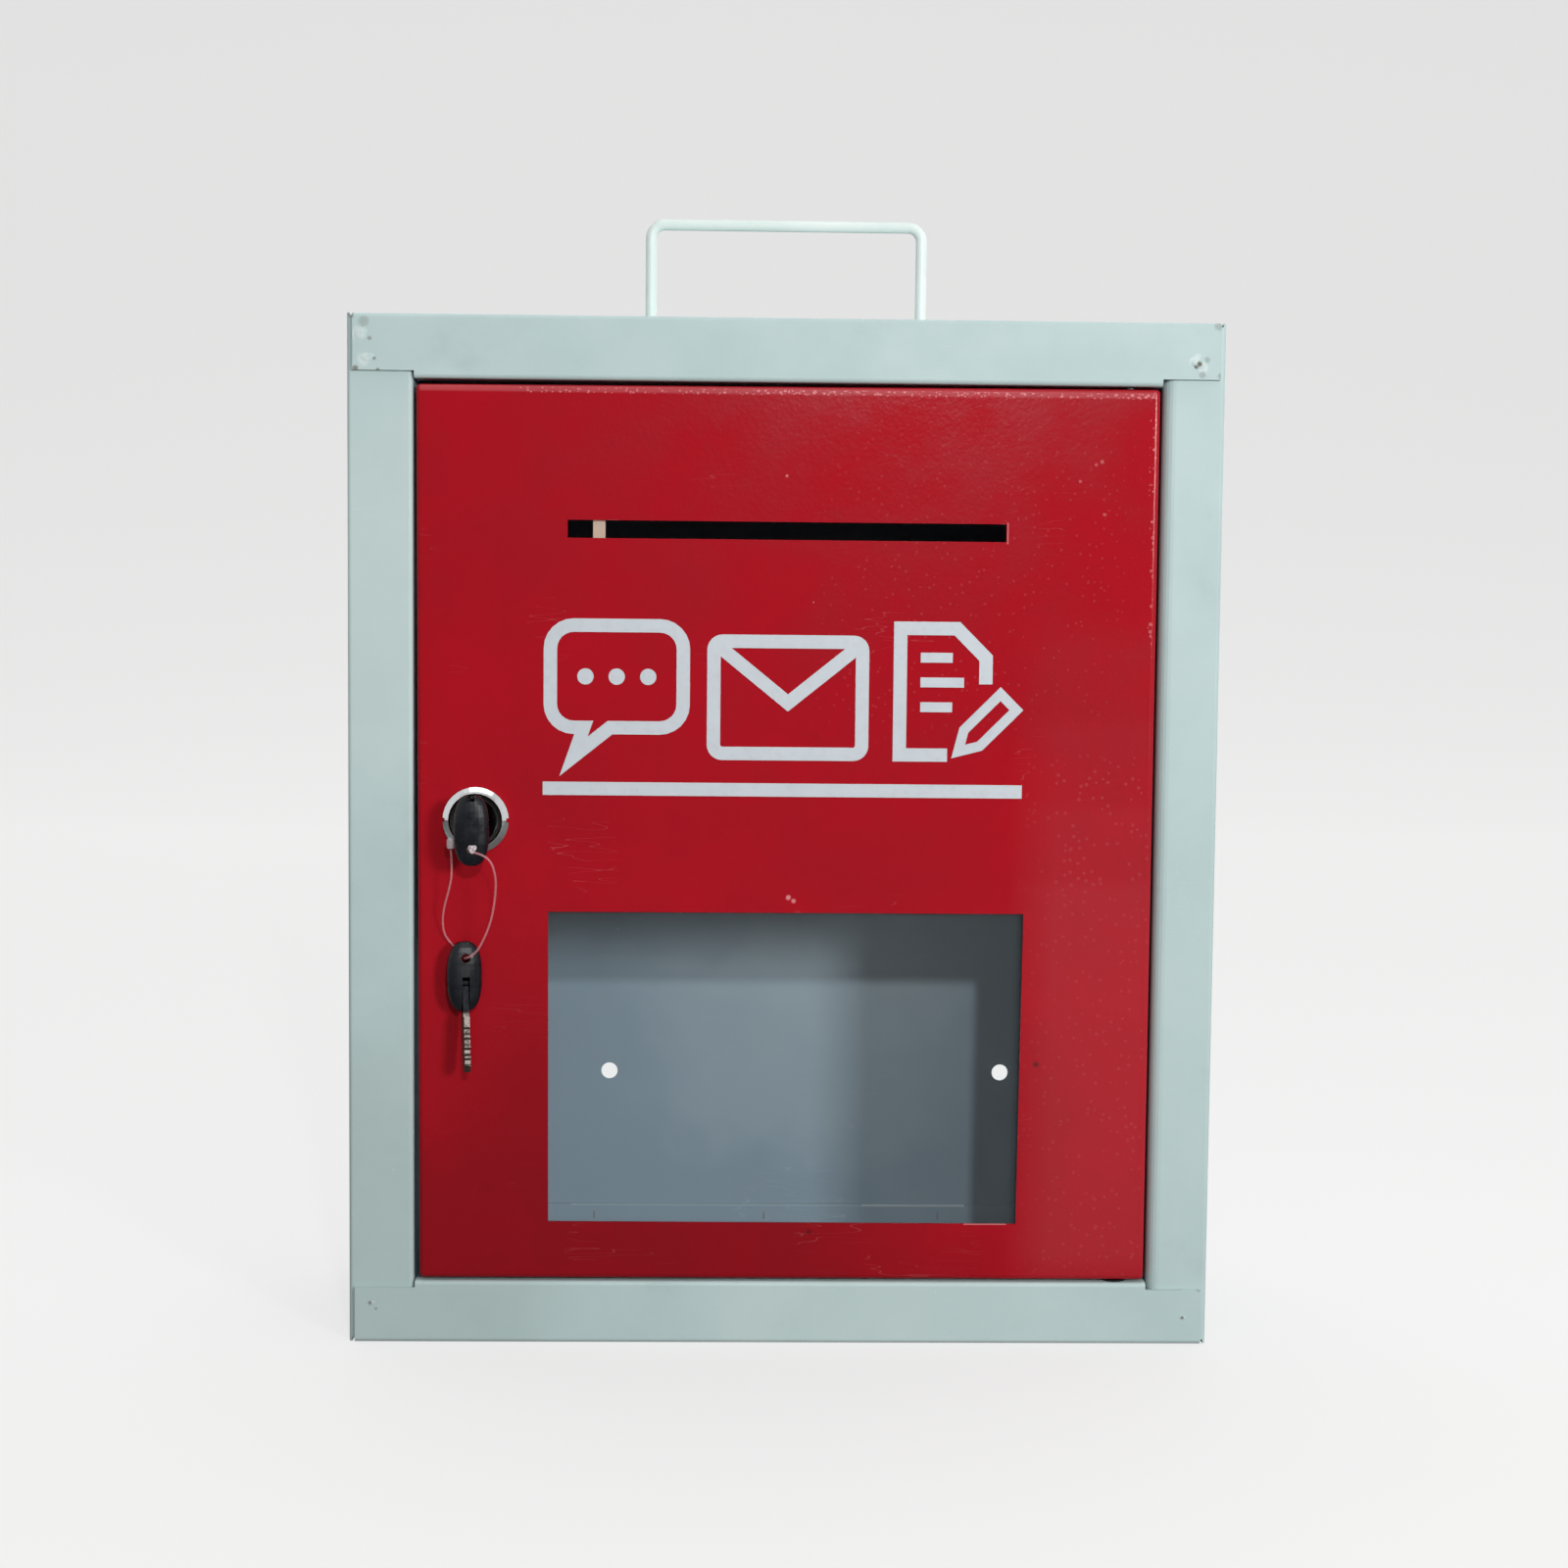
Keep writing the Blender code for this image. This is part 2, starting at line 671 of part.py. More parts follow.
def door_corners():
    """Corners of the door's front outline, slightly out of square."""
    return [
        Vector((OPENING_LEFT + DOOR_GAP_LEFT_BOTTOM, DOOR_LOW)),
        Vector((DOOR_RIGHT, DOOR_LOW)),
        Vector((DOOR_RIGHT, OPENING_HIGH - DOOR_GAP_TOP_RIGHT)),
        Vector((OPENING_LEFT + DOOR_GAP_LEFT_TOP, OPENING_HIGH - DOOR_GAP_TOP_LEFT)),
    ]


def door_loop(inset):
    """The door's outline, drawn in by inset, with rounded corners."""
    corners = door_corners()
    count = len(corners)
    radius = max(DOOR_CORNER_RADIUS - inset, DOOR_SHEET / 4)
    loop = []
    for index in range(count):
        corner = corners[index]
        to_before = (corners[index - 1] - corner).normalized()
        to_after = (corners[(index + 1) % count] - corner).normalized()
        half = to_before.angle(to_after) / 2
        middle = (to_before + to_after).normalized()
        centre = corner + middle * ((inset + radius) / math.sin(half))
        spread = math.pi / 2 - half
        outward = math.atan2(-middle.y, -middle.x)
        for step in range(CORNER_STEPS + 1):
            turn = outward + spread * (2 * step / CORNER_STEPS - 1)
            loop.append(centre + Vector((math.cos(turn), math.sin(turn))) * radius)
    return loop


def door_shell():
    """Folded pan: front face, rounded edge and four return walls."""
    rim_y = FRONT_Y + DOOR_DEPTH
    bend_y = FRONT_Y + DOOR_EDGE_RADIUS
    inner_radius = DOOR_EDGE_RADIUS - DOOR_SHEET
    rings = [(0, rim_y)]
    for step in range(BEND_STEPS + 1):
        turn = math.pi / 2 * step / BEND_STEPS
        inset = DOOR_EDGE_RADIUS * (1 - math.cos(turn))
        rings.append((inset, bend_y - DOOR_EDGE_RADIUS * math.sin(turn)))
    for step in range(BEND_STEPS, -1, -1):
        turn = math.pi / 2 * step / BEND_STEPS
        inset = DOOR_EDGE_RADIUS - inner_radius * math.cos(turn)
        rings.append((inset, bend_y - inner_radius * math.sin(turn)))
    rings.append((DOOR_SHEET, rim_y))
    points = []
    for inset, y in rings:
        points += [(point.x, y, point.y) for point in door_loop(inset)]
    count = len(points) // len(rings)
    faces = []
    front = BEND_STEPS + 1
    for ring in range(len(rings)):
        start = ring * count
        after_ring = (ring + 1) % len(rings) * count
        if ring == front:
            faces.append(tuple(range(start, start + count)))
            faces.append(tuple(range(after_ring, after_ring + count)))
            continue
        for index in range(count):
            after = (index + 1) % count
            faces.append((start + index, start + after, after_ring + after, after_ring + index))
    return mesh_from("door_panel", points, faces)


def window_outline():
    """The hand-cut window, a little out of square."""
    return [
        (WINDOW_LEFT, WINDOW_LOW),
        (WINDOW_RIGHT - WINDOW_LEAN / 2, WINDOW_LOW - WINDOW_TILT),
        (WINDOW_RIGHT + WINDOW_LEAN / 2, WINDOW_HIGH + WINDOW_TILT),
        (WINDOW_LEFT - WINDOW_LEAN / 4, WINDOW_HIGH),
    ]


def flatted_circle(radius, flat_half, steps=ROUND_STEPS):
    """Circle about the lock's axis with two upright flats."""
    outline = circle_outline(0, 0, radius, steps)
    return [(LOCK_X + max(-flat_half, min(flat_half, a)), LOCK_Z + b) for a, b in outline]


def door_panel():
    """Red door pan with its letter slot, window, lock hole and pivot bores."""
    item = add_object("door_panel", door_shell(), door_paint())
    near = FRONT_Y - CUT_OVERRUN
    far = DOOR_BACK_Y + CUT_OVERRUN
    slot_left = SLOT_OFFSET_X - SLOT_WIDTH / 2
    slot_low = SLOT_Z - SLOT_HEIGHT / 2
    slot = box_outline(slot_left, slot_left + SLOT_WIDTH, slot_low, slot_low + SLOT_HEIGHT)
    cut(item, prism("slot", slot, near, far, "Y"))
    cut(item, prism("window", window_outline(), near, far, "Y"))
    hole = flatted_circle(LOCK_BODY_RADIUS + FIT_GAP, LOCK_FLAT_HALF + FIT_GAP)
    cut(item, prism("lock_hole", hole, near, far, "Y"))
    bore = circle_outline(PIVOT_X, PIVOT_Y, PIVOT_RADIUS + FIT_GAP)
    cut(item, prism("bore", bore, DOOR_LOW - CUT_OVERRUN, DOOR_LOW + CUT_OVERRUN, "Z"))
    cut(item, prism("bore", bore, OPENING_HIGH - 2 * CUT_OVERRUN, OPENING_HIGH + CUT_OVERRUN, "Z"))
    smooth(item)
    return item


def slot_strip():
    """Narrow upright strip welded behind the slot, near its left end."""
    left = SLOT_OFFSET_X - SLOT_WIDTH / 2 + STRIP_FROM_SLOT_END
    low = SLOT_Z - SLOT_HEIGHT / 2 - STRIP_LAP
    high = SLOT_Z + SLOT_HEIGHT / 2 + STRIP_LAP
    outline = box_outline(left, left + STRIP_WIDTH, low, high)
    mesh = prism("slot_strip", outline, PANE_Y, PANE_Y + STRIP_SHEET, "Y")
    return add_object("slot_strip", mesh, strip_coat())


def window_pane():
    """Clear sheet behind the window."""
    outline = box_outline(
        WINDOW_LEFT - PANE_LAP, WINDOW_RIGHT + PANE_LAP, WINDOW_LOW - PANE_LAP, WINDOW_HIGH + PANE_TOP_LAP
    )
    mesh = prism("window_pane", outline, PANE_Y, PANE_Y + PANE_THICKNESS, "Y")
    return add_object("window_pane", mesh, clear_acrylic())


def channel_section(edge, outward):
    """Z-shaped section round an edge of the pane, in (across, y) pairs."""
    inner = edge + outward * FIT_GAP
    outer = inner + outward * CHANNEL_SHEET
    foot_end = inner + outward * CHANNEL_FOOT
    lip_end = edge - outward * CHANNEL_LIP
    foot_rear = PANE_Y + CHANNEL_SHEET
    lip_front = PANE_Y + PANE_THICKNESS + FIT_GAP
    lip_rear = lip_front + CHANNEL_SHEET
    return [
        (inner, PANE_Y),
        (foot_end, PANE_Y),
        (foot_end, foot_rear),
        (outer, foot_rear),
        (outer, lip_rear),
        (lip_end, lip_rear),
        (lip_end, lip_front),
        (inner, lip_front),
    ]


def pane_channels():
    """Three channels that hold the pane: left, right and bottom."""
    low = WINDOW_LOW - PANE_LAP
    left = WINDOW_LEFT - PANE_LAP
    right = WINDOW_RIGHT + PANE_LAP
    for name, edge, outward in (("pane_channel_left", left, -1), ("pane_channel_right", right, 1)):
        mesh = prism(name, channel_section(edge, outward), low, WINDOW_HIGH + PANE_LAP, "Z")
        add_object(name, mesh, door_paint())
    outline = [(y, across) for across, y in channel_section(low, -1)]
    span_left = left + CHANNEL_LIP + FIT_GAP
    span_right = right - CHANNEL_LIP - FIT_GAP
    mesh = prism("pane_channel_bottom", outline, span_left, span_right, "X")
    add_object("pane_channel_bottom", mesh, door_paint())


def door_top_at(x):
    """Height of the door's top edge at x."""
    right, left = door_corners()[2:]
    return left.y + (right.y - left.y) * (x - left.x) / (right.x - left.x)


def pivot_pins():
    """Two collared pins, fixed in the door's end walls, and the washer below."""
    upper_seat = door_top_at(PIVOT_X) - DOOR_SHEET - FIT_GAP
    lower_seat = DOOR_LOW + DOOR_SHEET + FIT_GAP
    upper_end = OPENING_HIGH + SHEET + PIVOT_PROUD
    lower_end = OPENING_LOW - SHEET - PIVOT_PROUD
    pins = (("upper_pivot_pin", upper_seat, upper_end, 1), ("lower_pivot_pin", lower_seat, lower_end, -1))
    for name, seat, end, way in pins:
        back = seat - way * PIVOT_COLLAR_LENGTH
        tip = end - way * PIVOT_RADIUS / 4
        profile = [
            (0, back),
            (PIVOT_COLLAR_RADIUS, back),
            (PIVOT_COLLAR_RADIUS, seat),
            (PIVOT_RADIUS, seat),
            (PIVOT_RADIUS, tip),
            (PIVOT_RADIUS * 3 / 4, end),
            (0, end),
        ]
        add_upright(name, profile, False)
    low = OPENING_LOW + FIT_GAP
    high = DOOR_LOW - FIT_GAP
    bore = PIVOT_RADIUS + FIT_GAP
    ring = [(bore, low), (PIVOT_WASHER_RADIUS, low), (PIVOT_WASHER_RADIUS, high), (bore, high)]
    add_upright("pivot_washer", ring, True)


def add_upright(name, profile, bored):
    """Turned piece on the door's pivot line, from (radius, z) pairs."""
    mesh = revolve(name, profile, (0, 0), SMALL_ROUND_STEPS, bored)
    turn = Matrix.Translation((PIVOT_X, PIVOT_Y, 0)) @ Matrix.Rotation(math.pi / 2, 4, "X")
    item = add_object(name, move_to(mesh, turn), zinc_steel())
    smooth(item)
    return item


def lock_housing():
    """Chrome cam lock body: bezel in front, flatted body through the door."""
    seat = FRONT_Y - FIT_GAP
    crest = BEZEL_RADIUS - BEZEL_CREST_WIDTH
    mouth = PLUG_HEAD_RADIUS + FIT_GAP
    bore = PLUG_RADIUS + FIT_GAP
    step_y = PLUG_FACE_Y + PLUG_HEAD_THICKNESS + FIT_GAP
    profile = [
        (LOCK_BODY_RADIUS, LOCK_REAR_Y),
        (LOCK_BODY_RADIUS, seat),
        (BEZEL_RADIUS, seat),
        (BEZEL_RADIUS, seat - BEZEL_RIM_RISE),
        (crest + BEZEL_CREST_WIDTH / 3, BEZEL_FRONT_Y + BEZEL_RISE / 8),
        (crest, BEZEL_FRONT_Y),
        (crest - BEZEL_CREST_WIDTH / 4, BEZEL_FRONT_Y + BEZEL_RISE / 16),
        (mouth, PLUG_FACE_Y),
        (mouth, step_y),
        (bore, step_y),
        (bore, LOCK_REAR_Y),
    ]
    mesh = revolve("lock_housing", profile, (LOCK_X, LOCK_Z), ROUND_STEPS, True)
    item = add_object("lock_housing", mesh, chrome())
    for side in (-1, 1):
        near, far = LOCK_FLAT_HALF * side, (LOCK_BODY_RADIUS + CUT_OVERRUN) * side
        low_a, high_a = sorted((LOCK_X + near, LOCK_X + far))
        flat = box_outline(low_a, high_a, LOCK_Z - 2 * BEZEL_RADIUS, LOCK_Z + 2 * BEZEL_RADIUS)
        cut(item, prism("flat", flat, seat + FIT_GAP / 2, LOCK_REAR_Y + CUT_OVERRUN, "Y"))
        near, far = (BEZEL_RADIUS - BEZEL_NOTCH_DEPTH) * side, (BEZEL_RADIUS + CUT_OVERRUN) * side
        low_a, high_a = sorted((LOCK_X + near, LOCK_X + far))
        half = BEZEL_NOTCH_WIDTH / 2
        notch = box_outline(low_a, high_a, LOCK_Z - half, LOCK_Z + half)
        cut(item, prism("notch", notch, BEZEL_FRONT_Y - CUT_OVERRUN, FRONT_Y + CUT_OVERRUN, "Y"))
    smooth(item)
    return item


def lock_washer():
    """Flat washer behind the door."""
    rear = PANE_Y + LOCK_WASHER_THICKNESS
    bore = LOCK_BODY_RADIUS + FIT_GAP
    ring = [(bore, PANE_Y), (LOCK_WASHER_RADIUS, PANE_Y), (LOCK_WASHER_RADIUS, rear), (bore, rear)]
    mesh = revolve("lock_washer", ring, (LOCK_X, LOCK_Z), ROUND_STEPS, True)
    item = add_object("lock_washer", mesh, zinc_steel())
    smooth(item)
    return item


def lock_nut():
    """Hexagon nut that clamps the lock in the door."""
    front = PANE_Y + LOCK_WASHER_THICKNESS + FIT_GAP
    rear = front + LOCK_NUT_THICKNESS
    corner = LOCK_NUT_ACROSS_FLATS / 2 / math.cos(math.pi / 6)
    item = add_object("lock_nut", prism("lock_nut", circle_outline(LOCK_X, LOCK_Z, corner, 6), front, rear, "Y"),
                      zinc_steel())
    bore = circle_outline(LOCK_X, LOCK_Z, LOCK_BODY_RADIUS + FIT_GAP, ROUND_STEPS)
    cut(item, prism("bore", bore, front - CUT_OVERRUN, rear + CUT_OVERRUN, "Y"))
    smooth(item)
    return item


def wafer_depth(index):
    """Y of a wafer's front face."""
    return FRONT_Y + WAFER_FIRST_DEPTH + index * WAFER_PITCH


def lock_plug():
    """Turning barrel: keyway, wafer slots, square tail and a bore for the screw."""
    head_rear = PLUG_FACE_Y + PLUG_HEAD_THICKNESS
    profile = [
        (0, PLUG_FACE_Y),
        (PLUG_HEAD_RADIUS, PLUG_FACE_Y),
        (PLUG_HEAD_RADIUS, head_rear),
        (PLUG_RADIUS, head_rear),
        (PLUG_RADIUS, LOCK_REAR_Y),
        (0, LOCK_REAR_Y),
    ]
    mesh = revolve("lock_plug", profile, (LOCK_X, LOCK_Z), ROUND_STEPS, False)
    item = add_object("lock_plug", mesh, dark_plug())
    half = PLUG_TAIL_HALF
    tail_end = CAM_REAR_Y - FIT_GAP / 3
    tail = box_outline(LOCK_X - half, LOCK_X + half, LOCK_Z - half, LOCK_Z + half)
    unite(item, prism("tail", tail, LOCK_REAR_Y - CAM_THICKNESS / 2, tail_end, "Y"))
    way_x = KEY_BLADE_THICKNESS / 2 + FIT_GAP
    way_z = KEY_BLADE_HALF + FIT_GAP
    keyway = box_outline(LOCK_X - way_x, LOCK_X + way_x, LOCK_Z - way_z, LOCK_Z + way_z)
    cut(item, prism("keyway", keyway, PLUG_FACE_Y - CUT_OVERRUN, KEYWAY_END_Y, "Y"))
    slot_x = WAFER_HALF_WIDTH + FIT_GAP
    slot = box_outline(LOCK_X - slot_x, LOCK_X + slot_x, LOCK_Z - 2 * PLUG_RADIUS, LOCK_Z + 2 * PLUG_RADIUS)
    for index in range(WAFER_COUNT):
        front = wafer_depth(index) - FIT_GAP
        rear = wafer_depth(index) + WAFER_THICKNESS + FIT_GAP
        cut(item, prism("wafer_slot", slot, front, rear, "Y"))
    bore = circle_outline(LOCK_X, LOCK_Z, CAM_SCREW_RADIUS + FIT_GAP)
    screw_end = cam_washer_y() + CAM_WASHER_THICKNESS + FIT_GAP - CAM_SCREW_LENGTH
    cut(item, prism("bore", bore, screw_end - FIT_GAP, tail_end + CUT_OVERRUN, "Y"))
    smooth(item)
    return item


def lock_wafers():
    """Flat brass wafers across the plug, each with a window for the blade."""
    outline = box_outline(
        LOCK_X - WAFER_HALF_WIDTH, LOCK_X + WAFER_HALF_WIDTH, LOCK_Z - WAFER_HALF_HEIGHT, LOCK_Z + WAFER_HALF_HEIGHT
    )
    way_x = KEY_BLADE_THICKNESS / 2 + FIT_GAP
    way_z = KEY_BLADE_HALF + FIT_GAP
    window = box_outline(LOCK_X - way_x, LOCK_X + way_x, LOCK_Z - way_z, LOCK_Z + way_z)
    for index in range(WAFER_COUNT):
        front = wafer_depth(index)
        rear = front + WAFER_THICKNESS
        name = f"lock_wafer_{index + 1}"
        item = add_object(name, prism(name, outline, front, rear, "Y"), brass())
        cut(item, prism("window", window, front - CUT_OVERRUN, rear + CUT_OVERRUN, "Y"))


def cam_outline():
    """Tapered bar from the hub down to a round tip."""
    lean = math.asin((CAM_HUB_RADIUS - CAM_TIP_RADIUS) / CAM_REACH)
    outline = []
    steps = SMALL_ROUND_STEPS
    for centre, radius, first in ((0, CAM_HUB_RADIUS, -lean), (-CAM_REACH, CAM_TIP_RADIUS, math.pi + lean)):
        sweep = math.pi + 2 * lean if centre == 0 else math.pi - 2 * lean
        for step in range(steps + 1):
            turn = first + sweep * step / steps
            outline.append((LOCK_X + radius * math.cos(turn), LOCK_Z + centre + radius * math.sin(turn)))
    return outline


def lock_cam():
    """Cam on the plug's square tail, hanging down when unlocked."""
    item = add_object("lock_cam", prism("lock_cam", cam_outline(), CAM_Y, CAM_REAR_Y, "Y"), zinc_steel())
    half = PLUG_TAIL_HALF + FIT_GAP
    hole = box_outline(LOCK_X - half, LOCK_X + half, LOCK_Z - half, LOCK_Z + half)
    cut(item, prism("hole", hole, CAM_Y - CUT_OVERRUN, CAM_REAR_Y + CUT_OVERRUN, "Y"))
    smooth(item)
    return item


def cam_washer_y():
    """Y of the cam washer's front face."""
    return CAM_REAR_Y + FIT_GAP


def cam_washer():
    """Washer between the cam and its screw."""
    front = cam_washer_y()
    rear = front + CAM_WASHER_THICKNESS
    bore = CAM_SCREW_RADIUS + FIT_GAP
    ring = [(bore, front), (CAM_WASHER_RADIUS, front), (CAM_WASHER_RADIUS, rear), (bore, rear)]
    mesh = revolve("cam_washer", ring, (LOCK_X, LOCK_Z), SMALL_ROUND_STEPS, True)
    item = add_object("cam_washer", mesh, zinc_steel())
    smooth(item)
    return item


def cam_screw():
    """Pan-head screw in the plug's tail."""
    seat = cam_washer_y() + CAM_WASHER_THICKNESS + FIT_GAP
    crown = seat + CAM_SCREW_HEAD_HEIGHT
    edge = CAM_SCREW_HEAD_HEIGHT / 3
    profile = [
        (0, seat - CAM_SCREW_LENGTH),
        (CAM_SCREW_RADIUS, seat - CAM_SCREW_LENGTH),
        (CAM_SCREW_RADIUS, seat),
        (CAM_SCREW_HEAD_RADIUS, seat),
        (CAM_SCREW_HEAD_RADIUS, crown - edge),
        (CAM_SCREW_HEAD_RADIUS - edge, crown),
        (0, crown),
    ]
    mesh = revolve("cam_screw", profile, (LOCK_X, LOCK_Z), SMALL_ROUND_STEPS, False)
    item = add_object("cam_screw", mesh, zinc_steel())
    half = CAM_SCREW_SLOT_WIDTH / 2
    span = CAM_SCREW_HEAD_RADIUS + CUT_OVERRUN
    slot = box_outline(LOCK_X - span, LOCK_X + span, LOCK_Z - half, LOCK_Z + half)
    cut(item, prism("slot", slot, crown - CAM_SCREW_SLOT_DEPTH, crown + CUT_OVERRUN, "Y"))
    smooth(item)
    return item


def key_head_mesh(name):
    """Crowned oval head about its pin: nose to +Z, ring end to -Z, slot to +Y.

    Each section across Z is a superellipse, and both half sizes follow a
    superellipse along Z, so the head is full in the middle and blunt at its ends.
    """
    sections = 16
    half_length = (KEY_PIN_TO_NOSE + KEY_PIN_TO_TAIL) / 2
    middle = (KEY_PIN_TO_NOSE - KEY_PIN_TO_TAIL) / 2
    points = [(0, 0, middle - half_length)]
    rings = [[0]]
    for section in range(1, sections):
        share = -math.cos(math.pi * section / sections)
        fullness = (1 - abs(share) ** 2.6) ** (1 / 2.6)
        rings.append(list(range(len(points), len(points) + ROUND_STEPS)))
        for step in range(ROUND_STEPS):
            turn = 2 * math.pi * step / ROUND_STEPS
            across = math.copysign(abs(math.cos(turn)) ** 0.75, math.cos(turn))
            through = math.copysign(abs(math.sin(turn)) ** 0.9, math.sin(turn))
            x = KEY_HEAD_WIDTH / 2 * fullness * across
            y = KEY_HEAD_THICKNESS / 2 * fullness ** 0.8 * through
            points.append((x, y, middle + half_length * share))
    rings.append([len(points)])
    points.append((0, 0, middle + half_length))
    faces = []
    for first, second in zip(rings, rings[1:]):
        for index in range(ROUND_STEPS):
            after = (index + 1) % ROUND_STEPS
            if len(first) == 1:
                faces.append((first[0], second[index], second[after]))
            elif len(second) == 1:
                faces.append((first[index], first[after], second[0]))
            else:
                faces.append((first[index], first[after], second[after], second[index]))
    return mesh_from(name, points, faces)


def key_head(name, frame):
    """Folding head with its ring hole, pin bore and the slot the blade swings in."""
    item = add_object(name, key_head_mesh(name), key_plastic())
    ring_z = KEY_RING_INSET - KEY_PIN_TO_TAIL
    ring = circle_outline(0, ring_z, KEY_RING_RADIUS)
    cut(item, prism("ring", ring, -KEY_HEAD_THICKNESS, KEY_HEAD_THICKNESS, "Y"))
    bore = circle_outline(0, 0, KEY_PIN_RADIUS + FIT_GAP)
    cut(item, prism("bore", bore, -KEY_HEAD_WIDTH, KEY_HEAD_WIDTH, "X"))
    half = KEY_BLADE_THICKNESS / 2 + FIT_GAP
    low = -KEY_HUB_RADIUS - FIT_GAP
    slot = box_outline(low, KEY_HEAD_THICKNESS, low, 2 * KEY_PIN_TO_NOSE)
    cut(item, prism("slot", slot, -half, half, "X"))
    smooth(item)
    item.matrix_world = frame
    return item


def key_blade_outline():
    """Blade outline in (y, z) pairs: hub round the pin, neck, shoulder and cuts."""
    shoulder = KEY_NECK_LENGTH + KEY_SHOULDER_LENGTH
    edge = [(KEY_NECK_HALF, KEY_NECK_LENGTH), (KEY_SHOULDER_HALF, KEY_NECK_LENGTH)]
    edge += [(KEY_SHOULDER_HALF, shoulder), (KEY_BLADE_HALF, shoulder)]
    first = wafer_depth(0) + WAFER_THICKNESS / 2 - KEY_PIN_Y
    for index, share in enumerate(KEY_CUT_DEPTH_SHARES):
        centre = first + index * WAFER_PITCH
        floor = KEY_BLADE_HALF - KEY_CUT_STEP * share
        edge.append((KEY_BLADE_HALF, centre - KEY_CUT_HALF - KEY_CUT_SLOPE))
        edge.append((floor, centre - KEY_CUT_HALF))
        edge.append((floor, centre + KEY_CUT_HALF))
        edge.append((KEY_BLADE_HALF, centre + KEY_CUT_HALF + KEY_CUT_SLOPE))
    edge.append((KEY_BLADE_HALF, KEY_BLADE_LENGTH - KEY_TIP_LENGTH))
    edge.append((KEY_NECK_HALF / 3, KEY_BLADE_LENGTH))
    outline = [(-KEY_NECK_HALF / 3, KEY_BLADE_LENGTH), (-KEY_BLADE_HALF, KEY_BLADE_LENGTH - KEY_TIP_LENGTH)]
    outline += [(-KEY_BLADE_HALF, shoulder), (-KEY_SHOULDER_HALF, shoulder)]
    outline += [(-KEY_SHOULDER_HALF, KEY_NECK_LENGTH), (-KEY_NECK_HALF, KEY_NECK_LENGTH)]
    meet = math.asin(KEY_NECK_HALF / KEY_HUB_RADIUS)
    steps = SMALL_ROUND_STEPS
    for step in range(steps + 1):
        turn = math.pi / 2 + meet + (2 * math.pi - 2 * meet) * step / steps
        outline.append((KEY_HUB_RADIUS * math.cos(turn), KEY_HUB_RADIUS * math.sin(turn)))
    return outline + edge


def key_blade(name, frame):
    """Flat blade that turns on the head's pin, along +Z of its frame."""
    half = KEY_BLADE_THICKNESS / 2
    item = add_object(name, prism(name, key_blade_outline(), -half, half, "X"), key_steel())
    bore = circle_outline(0, 0, KEY_PIN_RADIUS + FIT_GAP)
    cut(item, prism("bore", bore, -KEY_HEAD_WIDTH, KEY_HEAD_WIDTH, "X"))
    smooth(item)
    item.matrix_world = frame
    return item


def key_pin(name, frame):
    """Pin through the head and the blade's hub."""
    half = KEY_HEAD_WIDTH / 2 - KEY_PIN_RECESS
    mesh = prism(name, circle_outline(0, 0, KEY_PIN_RADIUS), -half, half, "X")
    item = add_object(name, mesh, key_steel())
    smooth(item)
    item.matrix_world = frame
    return item


def inserted_key():
    """The key in the lock: blade straight in, head folded down in front."""
    pin = Matrix.Translation((LOCK_X, KEY_PIN_Y, LOCK_Z))
    blade_turn = Matrix.Rotation(-math.pi / 2, 4, "X")
    blade = key_blade("key_blade", pin @ blade_turn)
    return blade, key_head("key_head", pin.copy()), key_pin("key_pin", pin.copy())


def spare_key():
    """The spare: it hangs by its ring end, with its blade folded a little out."""
    hang = KEY_PIN_TO_TAIL - KEY_RING_INSET
    place = Vector((LOCK_X + SPARE_FROM_LOCK_X, FRONT_Y - SPARE_FROM_DOOR, LOCK_Z - SPARE_RING_BELOW_LOCK - hang))
    head_frame = Matrix.Translation(place) @ Matrix.Rotation(SPARE_YAW, 4, "Z") @ Matrix.Rotation(math.pi, 4, "X")
    blade_frame = head_frame @ Matrix.Rotation(-SPARE_FOLD, 4, "X")
    head = key_head("spare_key_head", head_frame)
    return key_blade("spare_key_blade", blade_frame), head, key_pin("spare_key_pin", head_frame.copy())


def smooth_route(route, count):
    """Evenly spaced points on a smooth curve through the route's points."""
    points = [Vector(point) for point in route]
    ends = [2 * points[0] - points[1], *points, 2 * points[-1] - points[-2]]
    fine = []
    steps = 24
    for before, start, end, after in zip(ends, ends[1:], ends[2:], ends[3:]):
        for step in range(steps):
            t = step / steps
            fine.append(
                ((2 * start) + (end - before) * t + (2 * before - 5 * start + 4 * end - after) * t**2
                 + (3 * start - before - 3 * end + after) * t**3) / 2
            )
    fine.append(points[-1])
    run = [0.0]
    for first, second in zip(fine, fine[1:]):
        run.append(run[-1] + (second - first).length)
    even = []
    index = 0
    for step in range(count):
        target = run[-1] * step / (count - 1)
        while index < len(run) - 2 and run[index + 1] < target:
            index += 1
        share = (target - run[index]) / (run[index + 1] - run[index])
        even.append(fine[index].lerp(fine[index + 1], min(max(share, 0.0), 1.0)))
    return even


def cord_curve(name, points):
    """Round cord through the points, with closed ends."""
    curve = bpy.data.curves.new(name, "CURVE")
    curve.dimensions = "3D"
    curve.bevel_depth = CORD_RADIUS
    curve.bevel_resolution = CORD_BEVEL_RESOLUTION
    curve.use_fill_caps = True
    spline = curve.splines.new("POLY")
    spline.points.add(len(points) - 1)
    for target, point in zip(spline.points, points):
        target.co = (*point, 1.0)
    return curve


def tag_cord():
    """Thin nylon loop: front of the key head, round the spare key, back up behind."""
    curve = cord_curve("tag_cord", smooth_route(CORD_ROUTE, CORD_POINTS))
    item = bpy.data.objects.new("tag_cord", curve)
    bpy.context.collection.objects.link(item)
    curve.materials.append(nylon())
    return item


